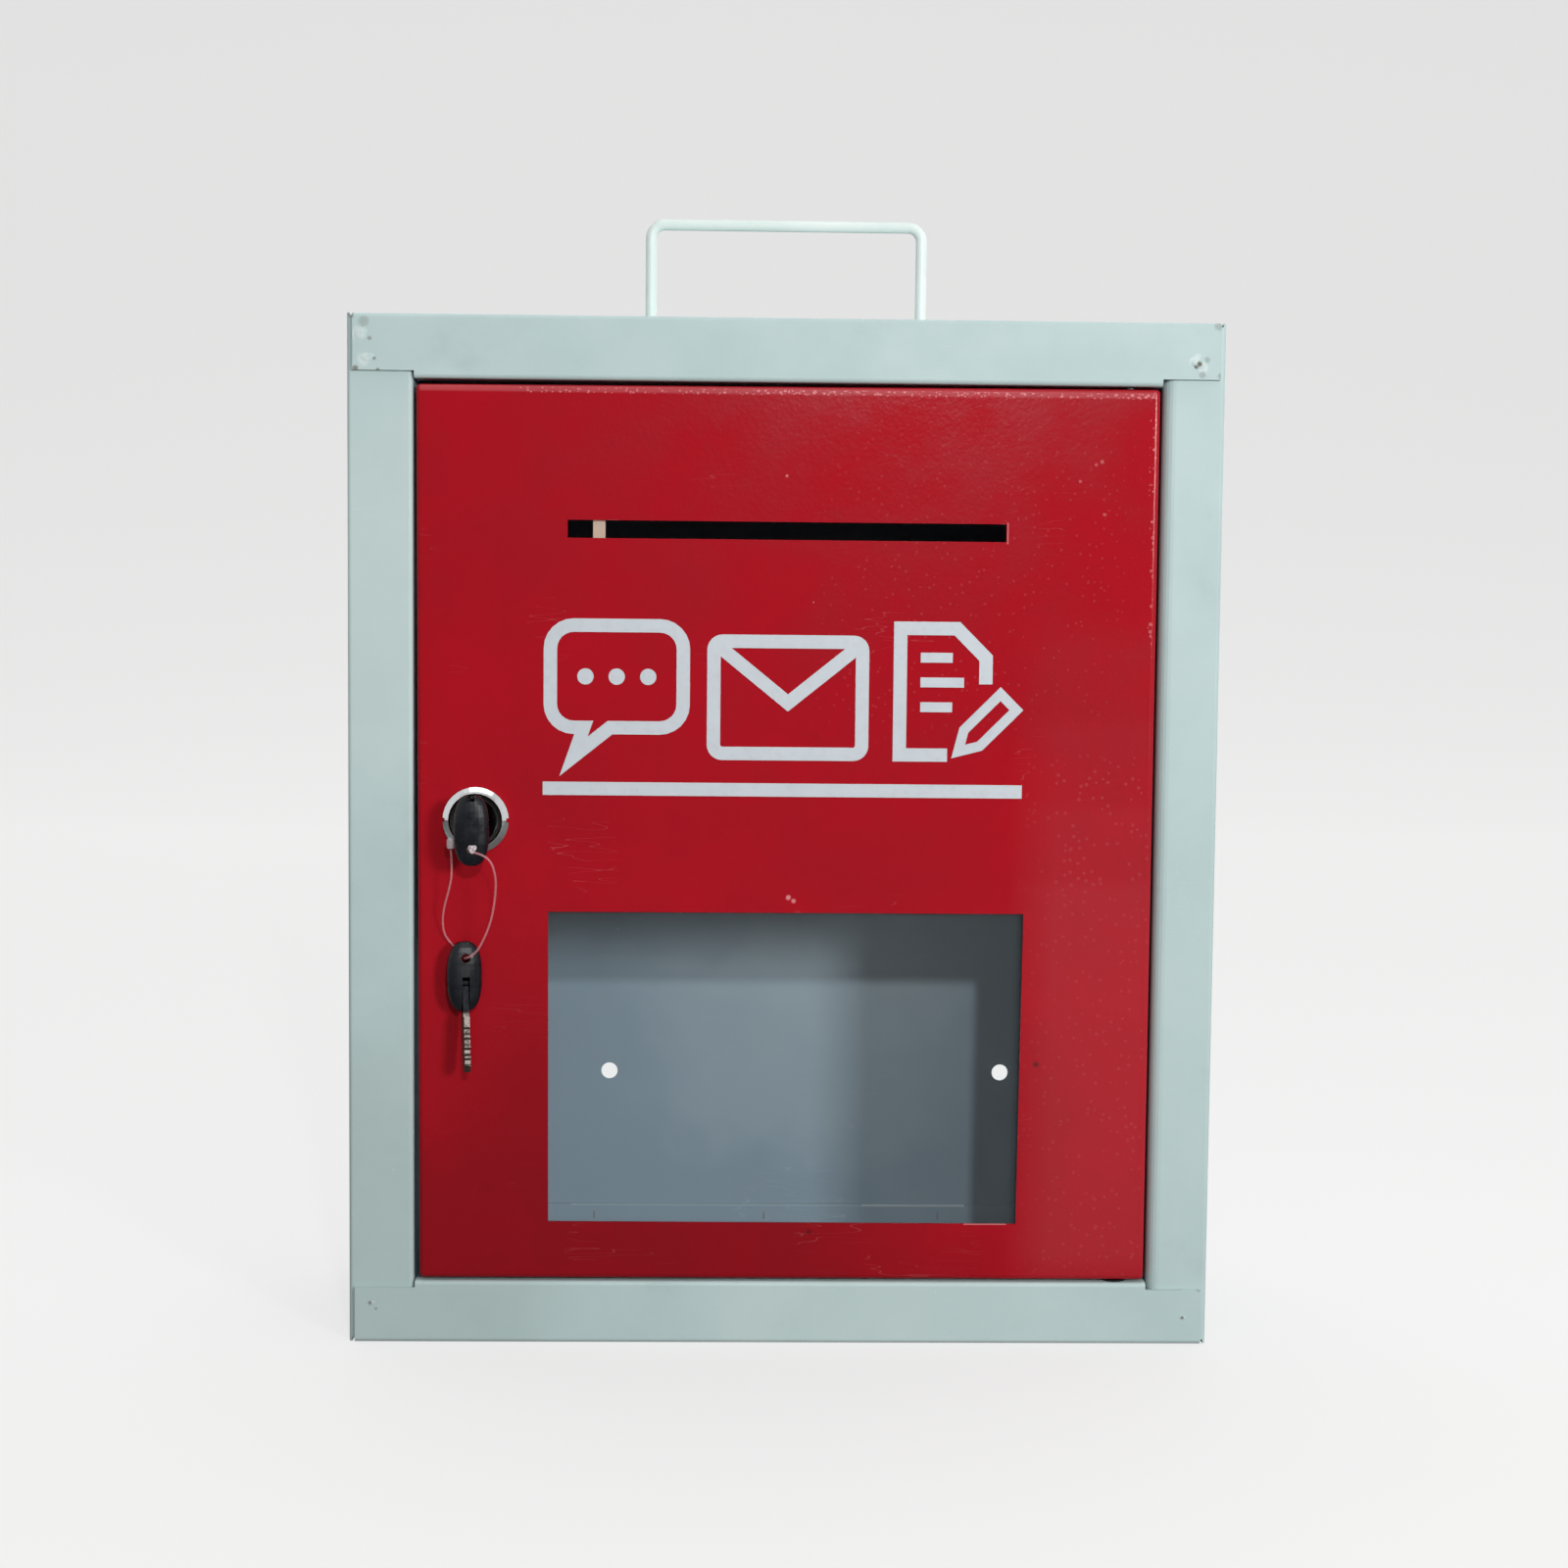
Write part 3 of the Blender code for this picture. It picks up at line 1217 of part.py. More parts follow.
def tag_head():
    """Moulded snap head of the loop, with the short tail into the ring hole."""
    top = Vector(TAG_TAIL_ROUTE[-1])
    low = CORD_ROUTE[-1][2] + FIT_GAP
    high = low + TAG_HEAD_LENGTH
    edge = TAG_HEAD_RADIUS / 3
    profile = [
        (0, low),
        (TAG_HEAD_RADIUS - edge, low),
        (TAG_HEAD_RADIUS, low + edge),
        (TAG_HEAD_RADIUS, high - edge),
        (TAG_HEAD_RADIUS - edge, high),
        (0, high),
    ]
    mesh = revolve("tag_head", profile, (0, 0), SMALL_ROUND_STEPS, False)
    turn = Matrix.Translation((top.x, top.y, 0)) @ Matrix.Rotation(math.pi / 2, 4, "X")
    item = add_object("tag_head", move_to(mesh, turn), nylon())
    curve = cord_curve("tail", smooth_route(TAG_TAIL_ROUTE, 12))
    tail = bpy.data.objects.new("tail", curve)
    bpy.context.collection.objects.link(tail)
    graph = bpy.context.evaluated_depsgraph_get()
    tail_mesh = bpy.data.meshes.new_from_object(tail.evaluated_get(graph))
    bpy.data.objects.remove(tail, do_unlink=True)
    unite(item, tail_mesh)
    smooth(item)
    return item


def add_axis(name, place):
    """Empty on a joint's axis."""
    empty = bpy.data.objects.new(name, None)
    bpy.context.collection.objects.link(empty)
    empty.location = place
    return empty


def hang_on(axis, pieces):
    """Parent pieces to an axis and leave them where they are."""
    bpy.context.view_layer.update()
    for piece in pieces:
        piece.parent = axis
        piece.matrix_parent_inverse = axis.matrix_world.inverted()


def main():
    """Build every piece, then hang the moving ones on their axes."""
    clear_scene()
    side_panel("left_side_panel", -1, LEFT_STILE_WIDTH, BEND_RADIUS)
    side_panel("right_side_panel", 1, RIGHT_STILE_WIDTH, RIGHT_STILE_BEND_RADIUS)
    top_cap()
    bottom_cap()
    back_panel()
    carry_handle()
    on_case = set(bpy.data.objects)
    door_panel()
    slot_strip()
    window_pane()
    pane_channels()
    pivot_pins()
    lock_housing()
    lock_washer()
    lock_nut()
    door_axis = add_axis("door_axis", (PIVOT_X, PIVOT_Y, DOOR_LOW))
    hang_on(door_axis, [item for item in bpy.data.objects if item not in on_case and item != door_axis])
    before_lock = set(bpy.data.objects)
    lock_plug()
    lock_wafers()
    lock_cam()
    cam_washer()
    cam_screw()
    lock_axis = add_axis("lock_axis", (LOCK_X, LOCK_REAR_Y, LOCK_Z))
    turning = [item for item in bpy.data.objects if item not in before_lock and item != lock_axis]
    blade, head, pin = inserted_key()
    fold_axis = add_axis("key_fold_axis", (LOCK_X, KEY_PIN_Y, LOCK_Z))
    hang_on(fold_axis, [head])
    spare_blade, spare_head, spare_pin = spare_key()
    cord = tag_cord()
    snap_head = tag_head()
    hang_on(fold_axis, [cord, snap_head, spare_blade, spare_head, spare_pin])
    hang_on(lock_axis, [*turning, blade, pin, fold_axis])
    hang_on(door_axis, [lock_axis])


main()
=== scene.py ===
"""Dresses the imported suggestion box: paint, metal, plastic, nylon, vinyl and a plain studio."""

import json
import logging
import math
from dataclasses import dataclass, field
from enum import Enum
from functools import partial, reduce
from typing import Any, Callable

import bpy
import numpy as np
from mathutils import Matrix, Vector


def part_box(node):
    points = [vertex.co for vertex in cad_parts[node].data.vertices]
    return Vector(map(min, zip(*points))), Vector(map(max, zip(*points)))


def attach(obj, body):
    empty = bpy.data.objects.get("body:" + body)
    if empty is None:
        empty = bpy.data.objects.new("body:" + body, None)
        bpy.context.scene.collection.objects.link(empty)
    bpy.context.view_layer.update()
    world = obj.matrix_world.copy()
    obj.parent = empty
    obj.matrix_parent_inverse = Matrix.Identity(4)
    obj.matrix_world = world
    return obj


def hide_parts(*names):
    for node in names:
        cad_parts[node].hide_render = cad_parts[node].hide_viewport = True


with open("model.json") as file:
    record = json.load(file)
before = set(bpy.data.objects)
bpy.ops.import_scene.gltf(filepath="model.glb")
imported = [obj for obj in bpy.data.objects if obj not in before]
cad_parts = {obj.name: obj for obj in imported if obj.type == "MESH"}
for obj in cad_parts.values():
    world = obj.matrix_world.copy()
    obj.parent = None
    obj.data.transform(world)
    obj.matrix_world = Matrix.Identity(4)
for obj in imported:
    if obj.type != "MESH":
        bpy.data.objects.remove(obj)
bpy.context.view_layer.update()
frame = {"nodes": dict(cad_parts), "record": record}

LOG = logging.getLogger("suggestion_box")
Place = tuple[float, float]
Point = tuple[float, float, float]
Colour = tuple[float, float, float]
Ramp = tuple[float, float, float, float]
Surface = tuple[np.ndarray, np.ndarray]
Inputs = dict[str | int, Any]
Socket = bpy.types.NodeSocket
MM = 0.001
WHITE = (1.0, 1.0, 1.0, 1.0)
CASE_FRONT = -0.050
FLANGE_TOP = 0.0245
FLANGE_AHEAD = 1.3 * MM


# Meshes worked out with numpy


def grid_faces(rows: int, columns: int, closed_rows: bool, closed_columns: bool) -> np.ndarray:
    """Quads that join a grid of points.

    Args:
        rows: Number of point rows.
        columns: Number of points in each row.
        closed_rows: Whether the last row joins the first.
        closed_columns: Whether each row's last point joins its first.

    Returns:
        Point numbers, four for each quad.
    """
    row = np.arange(rows if closed_rows else rows - 1)[:, None]
    column = np.arange(columns if closed_columns else columns - 1)[None, :]
    next_row = (row + 1) % rows
    next_column = (column + 1) % columns
    corners = np.broadcast_arrays(
        row * columns + column,
        row * columns + next_column,
        next_row * columns + next_column,
        next_row * columns + column,
    )
    return np.stack(corners, axis=-1).reshape(-1, 4)


def ribbon(path: np.ndarray, closed: bool, width: float, front: float, rear: float) -> Surface:
    """A flat strip of even width along a path in the XZ plane.

    Each section is a rectangle: the strip's width across the path, mitred at
    the corners, times its thickness from front to rear in Y.

    Args:
        path: Points (x, z) along the middle of the strip.
        closed: Whether the path ends where it starts.
        width: Width of the strip.
        front: Y of the face that shows.
        rear: Y of the face behind.

    Returns:
        The points and the quads.
    """
    ahead = np.roll(path, -1, axis=0) - path
    behind = path - np.roll(path, 1, axis=0)
    if not closed:
        ahead[-1] = behind[-1]
        behind[0] = ahead[0]
    ahead /= np.linalg.norm(ahead, axis=1, keepdims=True)
    behind /= np.linalg.norm(behind, axis=1, keepdims=True)
    normal_ahead = np.stack((-ahead[:, 1], ahead[:, 0]), axis=1)
    normal_behind = np.stack((-behind[:, 1], behind[:, 0]), axis=1)
    mitre = normal_ahead + normal_behind
    mitre /= 1 + np.sum(normal_ahead * normal_behind, axis=1, keepdims=True)
    left = path + mitre * width / 2
    right = path - mitre * width / 2
    sides = np.stack((left, right, right, left), axis=1)
    depth = np.broadcast_to(np.array((front, front, rear, rear)), sides.shape[:2])
    points = np.stack((sides[..., 0], depth, sides[..., 1]), axis=-1).reshape(-1, 3)
    quads = grid_faces(len(path), 4, closed, True)
    if not closed:
        section = np.arange(4)
        quads = np.concatenate((quads, (section[::-1],), (section + len(points) - 4,)))
    return points, quads


def round_box_path(low: Place, high: Place, radius: float, steps: int = 6) -> np.ndarray:
    """A rectangle with quarter-circle corners, anticlockwise, in (x, z).

    Args:
        low: Lowest corner.
        high: Highest corner.
        radius: Radius of each corner.
        steps: Steps along each quarter circle.

    Returns:
        The points of the closed path.
    """
    turns = np.radians(np.linspace(0, 90, steps + 1))
    middle = (np.array(low) + np.array(high)) / 2
    corners = ((high[0], high[1]), (low[0], high[1]), (low[0], low[1]), (high[0], low[1]))
    arcs = []
    for quarter, corner in enumerate(np.array(corners)):
        centre = corner - radius * np.sign(corner - middle)
        angle = turns + math.radians(90 * quarter)
        arcs.append(centre + radius * np.stack((np.cos(angle), np.sin(angle)), axis=1))
    return np.concatenate(arcs)


def dome(
    centre: Place,
    radii: Place,
    base: float,
    height: Callable[[np.ndarray], np.ndarray],
    ragged: float = 0.0,
    rings: int = 8,
    steps: int = 24,
    hub: float = 0.02,
) -> Surface:
    """A closed pat on the door or case front: an oval whose face rises by a profile.

    A point at share s of the oval's radius and turn t lies at
    (centre + radii * s * (cos t, sin t)), raised towards -Y by height(s). A
    ragged outline has the radius times 1 + ragged * (sin(2 t + x) + sin(3 t) / 2),
    where x is the middle's X in millimetres, so that no two are alike. The grid
    runs from the middle of the face to the rim and back to the middle of the
    flat rear.

    Args:
        centre: Middle, (x, z).
        radii: Half sizes in X and Z.
        base: Y of the flat rear.
        height: Rise at a share of the radius.
        ragged: How far the outline strays from the oval, as a share.
        rings: Rings from the middle to the rim.
        steps: Points in each ring.
        hub: Share of the radius at which the innermost ring lies.

    Returns:
        The points and the quads; the two middles are closed by narrow quads.
    """
    share = np.linspace(hub, 1.0, rings)
    turn = np.linspace(0, 2 * math.pi, steps, endpoint=False)
    outline = 1 + ragged * (np.sin(2 * turn + centre[0] / MM) + np.sin(3 * turn) / 2)
    reach = np.concatenate((share, share[::-1]))[:, None] * outline
    rise = np.concatenate((height(share), np.zeros(rings)))[:, None]
    x = centre[0] + radii[0] * reach * np.cos(turn)
    z = centre[1] + radii[1] * reach * np.sin(turn)
    y = base - rise + np.zeros_like(x)
    points = np.stack((x, y, z), axis=-1).reshape(-1, 3)
    return points, grid_faces(2 * rings, steps, True, True)


def join_surfaces(parts: list[Surface]) -> Surface:
    """Join several surfaces, each with its quads' point numbers moved past the ones before.

    Args:
        parts: The surfaces.

    Returns:
        The points and the quads of all.
    """
    starts = np.cumsum([0] + [len(points) for points, _ in parts[:-1]])
    points = np.concatenate([points for points, _ in parts])
    quads = np.concatenate([quads + start for (_, quads), start in zip(parts, starts)])
    return points, quads


def make_piece(
    name: str, points: np.ndarray, quads: np.ndarray, smooth: bool = False
) -> bpy.types.Object:
    """Link a piece made of quads into the scene, with its faces pointing outwards.

    Args:
        name: Name of the piece.
        points: Its points, in metres.
        quads: Point numbers, four for each face.
        smooth: Whether its faces are shaded smooth.

    Returns:
        The new object.
    """
    mesh = bpy.data.meshes.new(name)
    mesh.vertices.add(len(points))
    mesh.vertices.foreach_set("co", np.asarray(points, dtype=np.float32).ravel())
    mesh.loops.add(quads.size)
    mesh.loops.foreach_set("vertex_index", np.asarray(quads, dtype=np.int32).ravel())
    mesh.polygons.add(len(quads))
    mesh.polygons.foreach_set("loop_start", np.arange(0, quads.size, 4, dtype=np.int32))
    mesh.polygons.foreach_set("loop_total", np.full(len(quads), 4, dtype=np.int32))
    mesh.polygons.foreach_set("use_smooth", np.full(len(quads), smooth))
    mesh.update(calc_edges=True)
    piece = bpy.data.objects.new(name, mesh)
    bpy.context.collection.objects.link(piece)
    return piece


def smooth_route(route: tuple[Point, ...], count: int, steps: int = 24) -> np.ndarray:
    """Evenly spaced points on a smooth curve through a cord's route.

    Between two route points the curve is the cubic through both whose slope at
    each is half the step between its neighbours.

    Args:
        route: The points that the cord passes, in metres.
        count: Number of points wanted.
        steps: Steps between two route points along which the length is measured.

    Returns:
        The points, evenly spaced along the curve.
    """
    points = np.array(route)
    ends = np.concatenate(([2 * points[0] - points[1]], points, [2 * points[-1] - points[-2]]))
    before, start, end, after = (ends[shift:len(ends) - 3 + shift, None, :] for shift in range(4))
    t = np.linspace(0, 1, steps, endpoint=False)[None, :, None]
    fine = (
        2 * start
        + (end - before) * t
        + (2 * before - 5 * start + 4 * end - after) * t**2
        + (3 * start - before - 3 * end + after) * t**3
    ) / 2
    fine = np.concatenate((fine.reshape(-1, 3), points[-1:]))
    run = np.concatenate(([0.0], np.cumsum(np.linalg.norm(np.diff(fine, axis=0), axis=1))))
    wanted = np.linspace(0, run[-1], count)
    return np.stack([np.interp(wanted, run, fine[:, axis]) for axis in range(3)], axis=1)


# Node trees


def as_rgba(colour: Any) -> Any:
    """A colour with its fourth number; sockets pass as they are."""
    return (*colour, 1.0) if isinstance(colour, tuple) and len(colour) == 3 else colour


def linear(red: int, green: int, blue: int) -> Colour:
    """Turn a colour as written on a screen, 0 to 255, into Blender's linear numbers.

    Args:
        red: Its red.
        green: Its green.
        blue: Its blue.

    Returns:
        The same colour, from 0 to 1.
    """
    shares = (value / 255 for value in (red, green, blue))
    return tuple(
        share / 12.92 if share <= 0.04045 else ((share + 0.055) / 1.055) ** 2.4
        for share in shares
    )


class Tree:
    """A node tree that grows one node at a time."""

    def __init__(self, tree: bpy.types.NodeTree) -> None:
        """Start from an empty tree."""
        self.tree = tree
        tree.nodes.clear()

    def put(self, node: bpy.types.Node, inputs: Inputs) -> None:
        """Give a node's inputs their values.

        Args:
            node: The node.
            inputs: Values, or sockets to link, by the inputs' names or numbers.
        """
        for key, value in inputs.items():
            if isinstance(value, Socket):
                self.tree.links.new(value, node.inputs[key])
            else:
                node.inputs[key].default_value = value

    def add(self, kind: str, inputs: Inputs | None = None, **settings: Any) -> bpy.types.Node:
        """Add a node.

        Args:
            kind: Blender's name of the node type.
            inputs: Values or sockets for the node's inputs, by name or number.
            **settings: Attributes of the node.

        Returns:
            The new node.
        """
        node = self.tree.nodes.new(kind)
        for name, value in settings.items():
            setattr(node, name, value)
        self.put(node, inputs or {})
        return node

    def math(self, operation: str, *values: Any, clamp: bool = False) -> Socket:
        """One Math node's result."""
        inputs = dict(enumerate(values))
        return self.add("ShaderNodeMath", inputs, operation=operation, use_clamp=clamp).outputs[0]

    def most(self, *masks: Any) -> Socket:
        """The strongest of several masks at each place."""
        return reduce(partial(self.math, "MAXIMUM"), masks)

    def ramp(
        self, value: Any, low: float, high: float, to_low: float = 0.0, to_high: float = 1.0
    ) -> Socket:
        """A value carried smoothly from one range to another, and held at its ends."""
        inputs = dict(enumerate((value, low, high, to_low, to_high)))
        return self.add("ShaderNodeMapRange", inputs, interpolation_type="SMOOTHSTEP").outputs[0]

    def blend(self, share: Any, first: Any, second: Any) -> Socket:
        """A colour between two, by a share."""
        ends = {6: as_rgba(first), 7: as_rgba(second)}
        return self.add("ShaderNodeMix", {0: share, **ends}, data_type="RGBA").outputs[2]

    def mix(self, share: Any, first: Any, second: Any) -> Socket:
        """A number between two, by a share."""
        ends = {2: first, 3: second}
        return self.add("ShaderNodeMix", {0: share, **ends}, data_type="FLOAT").outputs[0]

    def noise(
        self, place: Socket, size: Any, detail: float = 2.0, roughness: float = 0.5
    ) -> Socket:
        """Noise whose blobs have about a wanted size.

        Args:
            place: The coordinates.
            size: Size of the blobs in metres, a number or a socket.
            detail: How many finer layers lie over them.
            roughness: How strong the finer layers are.

        Returns:
            The noise, about 0.5.
        """
        scale = 1 / size if isinstance(size, float) else self.math("DIVIDE", 1.0, size)
        inputs = {"Vector": place, "Scale": scale, "Detail": detail, "Roughness": roughness}
        return self.add("ShaderNodeTexNoise", inputs).outputs["Fac"]


class EffectTree(Tree):
    """The tree of a shared effect, with its named inputs and outputs."""

    def __init__(
        self, name: str, inputs: dict[str, float | None], outputs: tuple[str, ...] = ("Mask",)
    ) -> None:
        """Begin a shared effect.

        Args:
            name: Name of the group.
            inputs: Input names with their starting values; None stands for a vector.
            outputs: Names of the numbers that it puts out.
        """
        group = bpy.data.node_groups.new(name, "ShaderNodeTree")
        for label, value in inputs.items():
            kind = "NodeSocketVector" if value is None else "NodeSocketFloat"
            socket = group.interface.new_socket(label, in_out="INPUT", socket_type=kind)
            if value is not None:
                socket.default_value = value
        for label in outputs:
            group.interface.new_socket(label, in_out="OUTPUT", socket_type="NodeSocketFloat")
        super().__init__(group)
        self.source = self.add("NodeGroupInput")
        self.target = self.add("NodeGroupOutput")

    def __getitem__(self, label: str) -> Socket:
        """One of the effect's inputs."""
        return self.source.outputs[label]

    def give(self, **outputs: Socket) -> bpy.types.NodeTree:
        """Put out the results, and hand over the finished group."""
        self.put(self.target, outputs)
        return self.tree


class Effects:
    """The shared effects, each built once.

    BROAD_PEEL is the broad peel's size in fine peels, SCRATCH_PLACES the size of
    the places that keep scratches in scratch lengths, SPOT_LUMPS the number of
    lumps across a ragged spot's radius, and DOT_EDGE how steeply a dot's mask rises.
    """

    NOISE_MIDDLE = 0.5
    BROAD_PEEL = 3.5
    FINE_SHARE = 0.65
    CLOUD_ENDS = (0.3, 0.7)
    DOT_EDGE = 30.0
    SCRATCH_TURN = (0.3, 0.7, 0.4)
    SCRATCH_STRETCH = (1.0, 6.0, 9.0)
    SCRATCH_PLACES = 1.5
    SPOT_LUMPS = 2.5
    SPOT_CORE = 0.45

    def __init__(self) -> None:
        """Build every group."""
        self.coat = self._coat()
        self.grime = self._grime()
        self.specks = self._specks()
        self.scratches = self._scratches()
        self.spot = self._spot()
        self.room = self._room()

    def _coat(self) -> bpy.types.NodeTree:
        """Skin of a baked coat: fine and broad peel for the bump, and slow clouds for the colour.

        Returns:
            The group.
        """
        sizes = {"Place": None, "Peel": 0.001, "Cloud": 0.05}
        tree = EffectTree("coat_skin", sizes, ("Peel", "Clouds"))
        fine = tree.noise(tree["Place"], tree["Peel"], detail=2.0, roughness=0.6)
        broad_size = tree.math("MULTIPLY", tree["Peel"], self.BROAD_PEEL)
        broad = tree.noise(tree["Place"], broad_size, detail=1.0)
        peel = tree.math(
            "ADD",
            tree.math("MULTIPLY", fine, self.FINE_SHARE),
            tree.math("MULTIPLY", broad, 1 - self.FINE_SHARE),
        )
        clouds = tree.noise(tree["Place"], tree["Cloud"], detail=4.0, roughness=0.6)
        return tree.give(Peel=peel, Clouds=tree.ramp(clouds, *self.CLOUD_ENDS))

    def _grime(self) -> bpy.types.NodeTree:
        """Patchy dirt: noise that is cut off below a level.

        Returns:
            The group.
        """
        tree = EffectTree("grime", {"Place": None, "Size": 0.01, "Level": 0.55, "Softness": 0.1})
        value = tree.noise(tree["Place"], tree["Size"], detail=6.0, roughness=0.65)
        over = tree.math("SUBTRACT", value, tree["Level"])
        return tree.give(Mask=tree.math("DIVIDE", over, tree["Softness"], clamp=True))

    def _specks(self) -> bpy.types.NodeTree:
        """Sparse small dots: some cells of a Voronoi pattern, near their middles.

        Returns:
            The group.
        """
        tree = EffectTree("specks", {"Place": None, "Spacing": 0.01, "Radius": 0.05, "Share": 0.2})
        scale = tree.math("DIVIDE", 1.0, tree["Spacing"])
        cells = tree.add("ShaderNodeTexVoronoi", {"Vector": tree["Place"], "Scale": scale})
        inside = tree.math("SUBTRACT", tree["Radius"], cells.outputs["Distance"])
        inside = tree.math("MULTIPLY", inside, self.DOT_EDGE, clamp=True)
        pick = tree.add("ShaderNodeSeparateColor", {0: cells.outputs["Color"]}).outputs[0]
        chosen = tree.math("LESS_THAN", pick, tree["Share"])
        return tree.give(Mask=tree.math("MULTIPLY", inside, chosen))

    def _scratches(self) -> bpy.types.NodeTree:
        """Fine scratches: level lines of stretched noise, kept only in places.

        Returns:
            The group.
        """
        sizes = {"Place": None, "Length": 0.02, "Width": 0.01, "Level": 0.6}
        tree = EffectTree("scratches", sizes)
        turn = {"Rotation": self.SCRATCH_TURN, "Scale": self.SCRATCH_STRETCH}
        turned = tree.add("ShaderNodeMapping", {"Vector": tree["Place"], **turn}).outputs[0]
        lines = tree.noise(turned, tree["Length"], detail=1.0)
        near = tree.math("ABSOLUTE", tree.math("SUBTRACT", lines, self.NOISE_MIDDLE))
        line = tree.math("LESS_THAN", near, tree["Width"])
        size = tree.math("MULTIPLY", tree["Length"], self.SCRATCH_PLACES)
        places = tree.noise(tree["Place"], size, detail=2.0)
        kept = tree.math("GREATER_THAN", places, tree["Level"])
        return tree.give(Mask=tree.math("MULTIPLY", line, kept))

    def _spot(self) -> bpy.types.NodeTree:
        """One ragged spot about a centre, full out to its core and fading to its radius.

        It serves stain marks, painted shade and painted pools of light.

        Returns:
            The group.
        """
        sizes = {"Place": None, "Centre": None, "Radius": 0.003, "Raggedness": 0.6}
        tree = EffectTree("ragged_spot", sizes)
        ends = {0: tree["Place"], 1: tree["Centre"]}
        away = tree.add("ShaderNodeVectorMath", ends, operation="DISTANCE").outputs["Value"]
        share = tree.math("DIVIDE", away, tree["Radius"])
        lump = tree.math("DIVIDE", tree["Radius"], self.SPOT_LUMPS)
        lumps = tree.noise(tree["Place"], lump, detail=3.0)
        lumps = tree.math("SUBTRACT", lumps, self.NOISE_MIDDLE)
        ragged = tree.math("MULTIPLY", lumps, tree["Raggedness"])
        return tree.give(Mask=tree.ramp(tree.math("ADD", share, ragged), 1.0, self.SPOT_CORE))

    def _room(self) -> bpy.types.NodeTree:
        """Whether a point lies in a block between two corners, with soft limits.

        On each axis the share is the distance past the nearer limit over the
        softness, held between 0 and 1, and the three shares are multiplied.

        Returns:
            The group.
        """
        tree = EffectTree("room", {"Place": None, "Low": None, "High": None, "Softness": 0.0005})
        place, low, high = (
            tree.add("ShaderNodeSeparateXYZ", {0: tree[label]}).outputs
            for label in ("Place", "Low", "High")
        )
        shares = []
        for axis in "XYZ":
            over = tree.math("SUBTRACT", place[axis], low[axis])
            under = tree.math("SUBTRACT", high[axis], place[axis])
            nearer = tree.math("MINIMUM", over, under)
            shares.append(tree.math("DIVIDE", nearer, tree["Softness"], clamp=True))
        return tree.give(Mask=reduce(partial(tree.math, "MULTIPLY"), shares))


class FinishTree(Tree):
    """A material's tree, with its shader, the object's coordinates and the shared effects."""

    def __init__(self, name: str, effects: Effects) -> None:
        """Begin a material.

        Args:
            name: Name of the material.
            effects: The shared effects.
        """
        self.material = bpy.data.materials.new(name)
        self.material.use_nodes = True
        super().__init__(self.material.node_tree)
        self.effects = effects
        self.shader = self.add("ShaderNodeBsdfPrincipled")
        self.add("ShaderNodeOutputMaterial", {"Surface": self.shader.outputs[0]})
        self.place = self.add("ShaderNodeTexCoord").outputs["Object"]

    def effect(self, group: bpy.types.NodeTree, **inputs: Any) -> bpy.types.Node:
        """Place one of the shared effects, with its own values."""
        return self.add("ShaderNodeGroup", {"Place": self.place, **inputs}, node_tree=group)

    def mask(self, group: bpy.types.NodeTree, strength: float = 1.0, **inputs: Any) -> Socket:
        """One of the shared effects, weakened to a strength."""
        mask = self.effect(group, **inputs).outputs[0]
        return mask if strength == 1.0 else self.math("MULTIPLY", mask, strength)

    def cover(self, colour: Socket, rough: Socket, height: Socket, rise: float) -> None:
        """Feed the shader its colour and roughness, and a bump that rises so far."""
        bump = self.add("ShaderNodeBump", {"Strength": 1.0, "Distance": rise, "Height": height})
        self.put(self.shader, {"Base Color": colour, "Roughness": rough, "Normal": bump.outputs[0]})


# Marks, each with a mask of how strongly it shows at each place


@dataclass(frozen=True)
class Patches:
    """Dirt, tarnish, dust or haze: noise with blobs of a size, above a level."""

    size: float = 0.03
    level: float = 0.62
    softness: float = 0.2
    strength: float = 0.25

    def mask(self, tree: FinishTree) -> Socket:
        """Where the patches show."""
        values = {"Size": self.size, "Level": self.level, "Softness": self.softness}
        return tree.mask(tree.effects.grime, self.strength, **values)


@dataclass(frozen=True)
class Scratches:
    """Fine lines, in the places where noise passes a level."""

    length: float = 0.03
    width: float = 0.004
    level: float = 0.62
    strength: float = 0.25

    def mask(self, tree: FinishTree) -> Socket:
        """Where the lines show."""
        values = {"Length": self.length, "Width": self.width, "Level": self.level}
        return tree.mask(tree.effects.scratches, self.strength, **values)


@dataclass(frozen=True)
class Specks:
    """Dots in a share of the cells of a pattern; their radius is a share of the spacing."""

    spacing: float = 0.009
    radius: float = 0.045
    share: float = 0.12
    strength: float = 0.5

    def mask(self, tree: FinishTree) -> Socket:
        """Where the dots show."""
        values = {"Spacing": self.spacing, "Radius": self.radius, "Share": self.share}
        return tree.mask(tree.effects.specks, self.strength, **values)


@dataclass(frozen=True)
class RaggedSpot:
    """A ragged mark on a finish, or only on its part within the case's walls: stain marks, painted
    shade and painted light.
    """

    centre: Point
    radius: float
    strength: float
    ragged: float = 0.6
    within: bool = False

    def mask(self, tree: FinishTree) -> Socket:
        """Where the stain shows."""
        values = {"Centre": self.centre, "Radius": self.radius, "Raggedness": self.ragged}
        return tree.mask(tree.effects.spot, self.strength, **values)


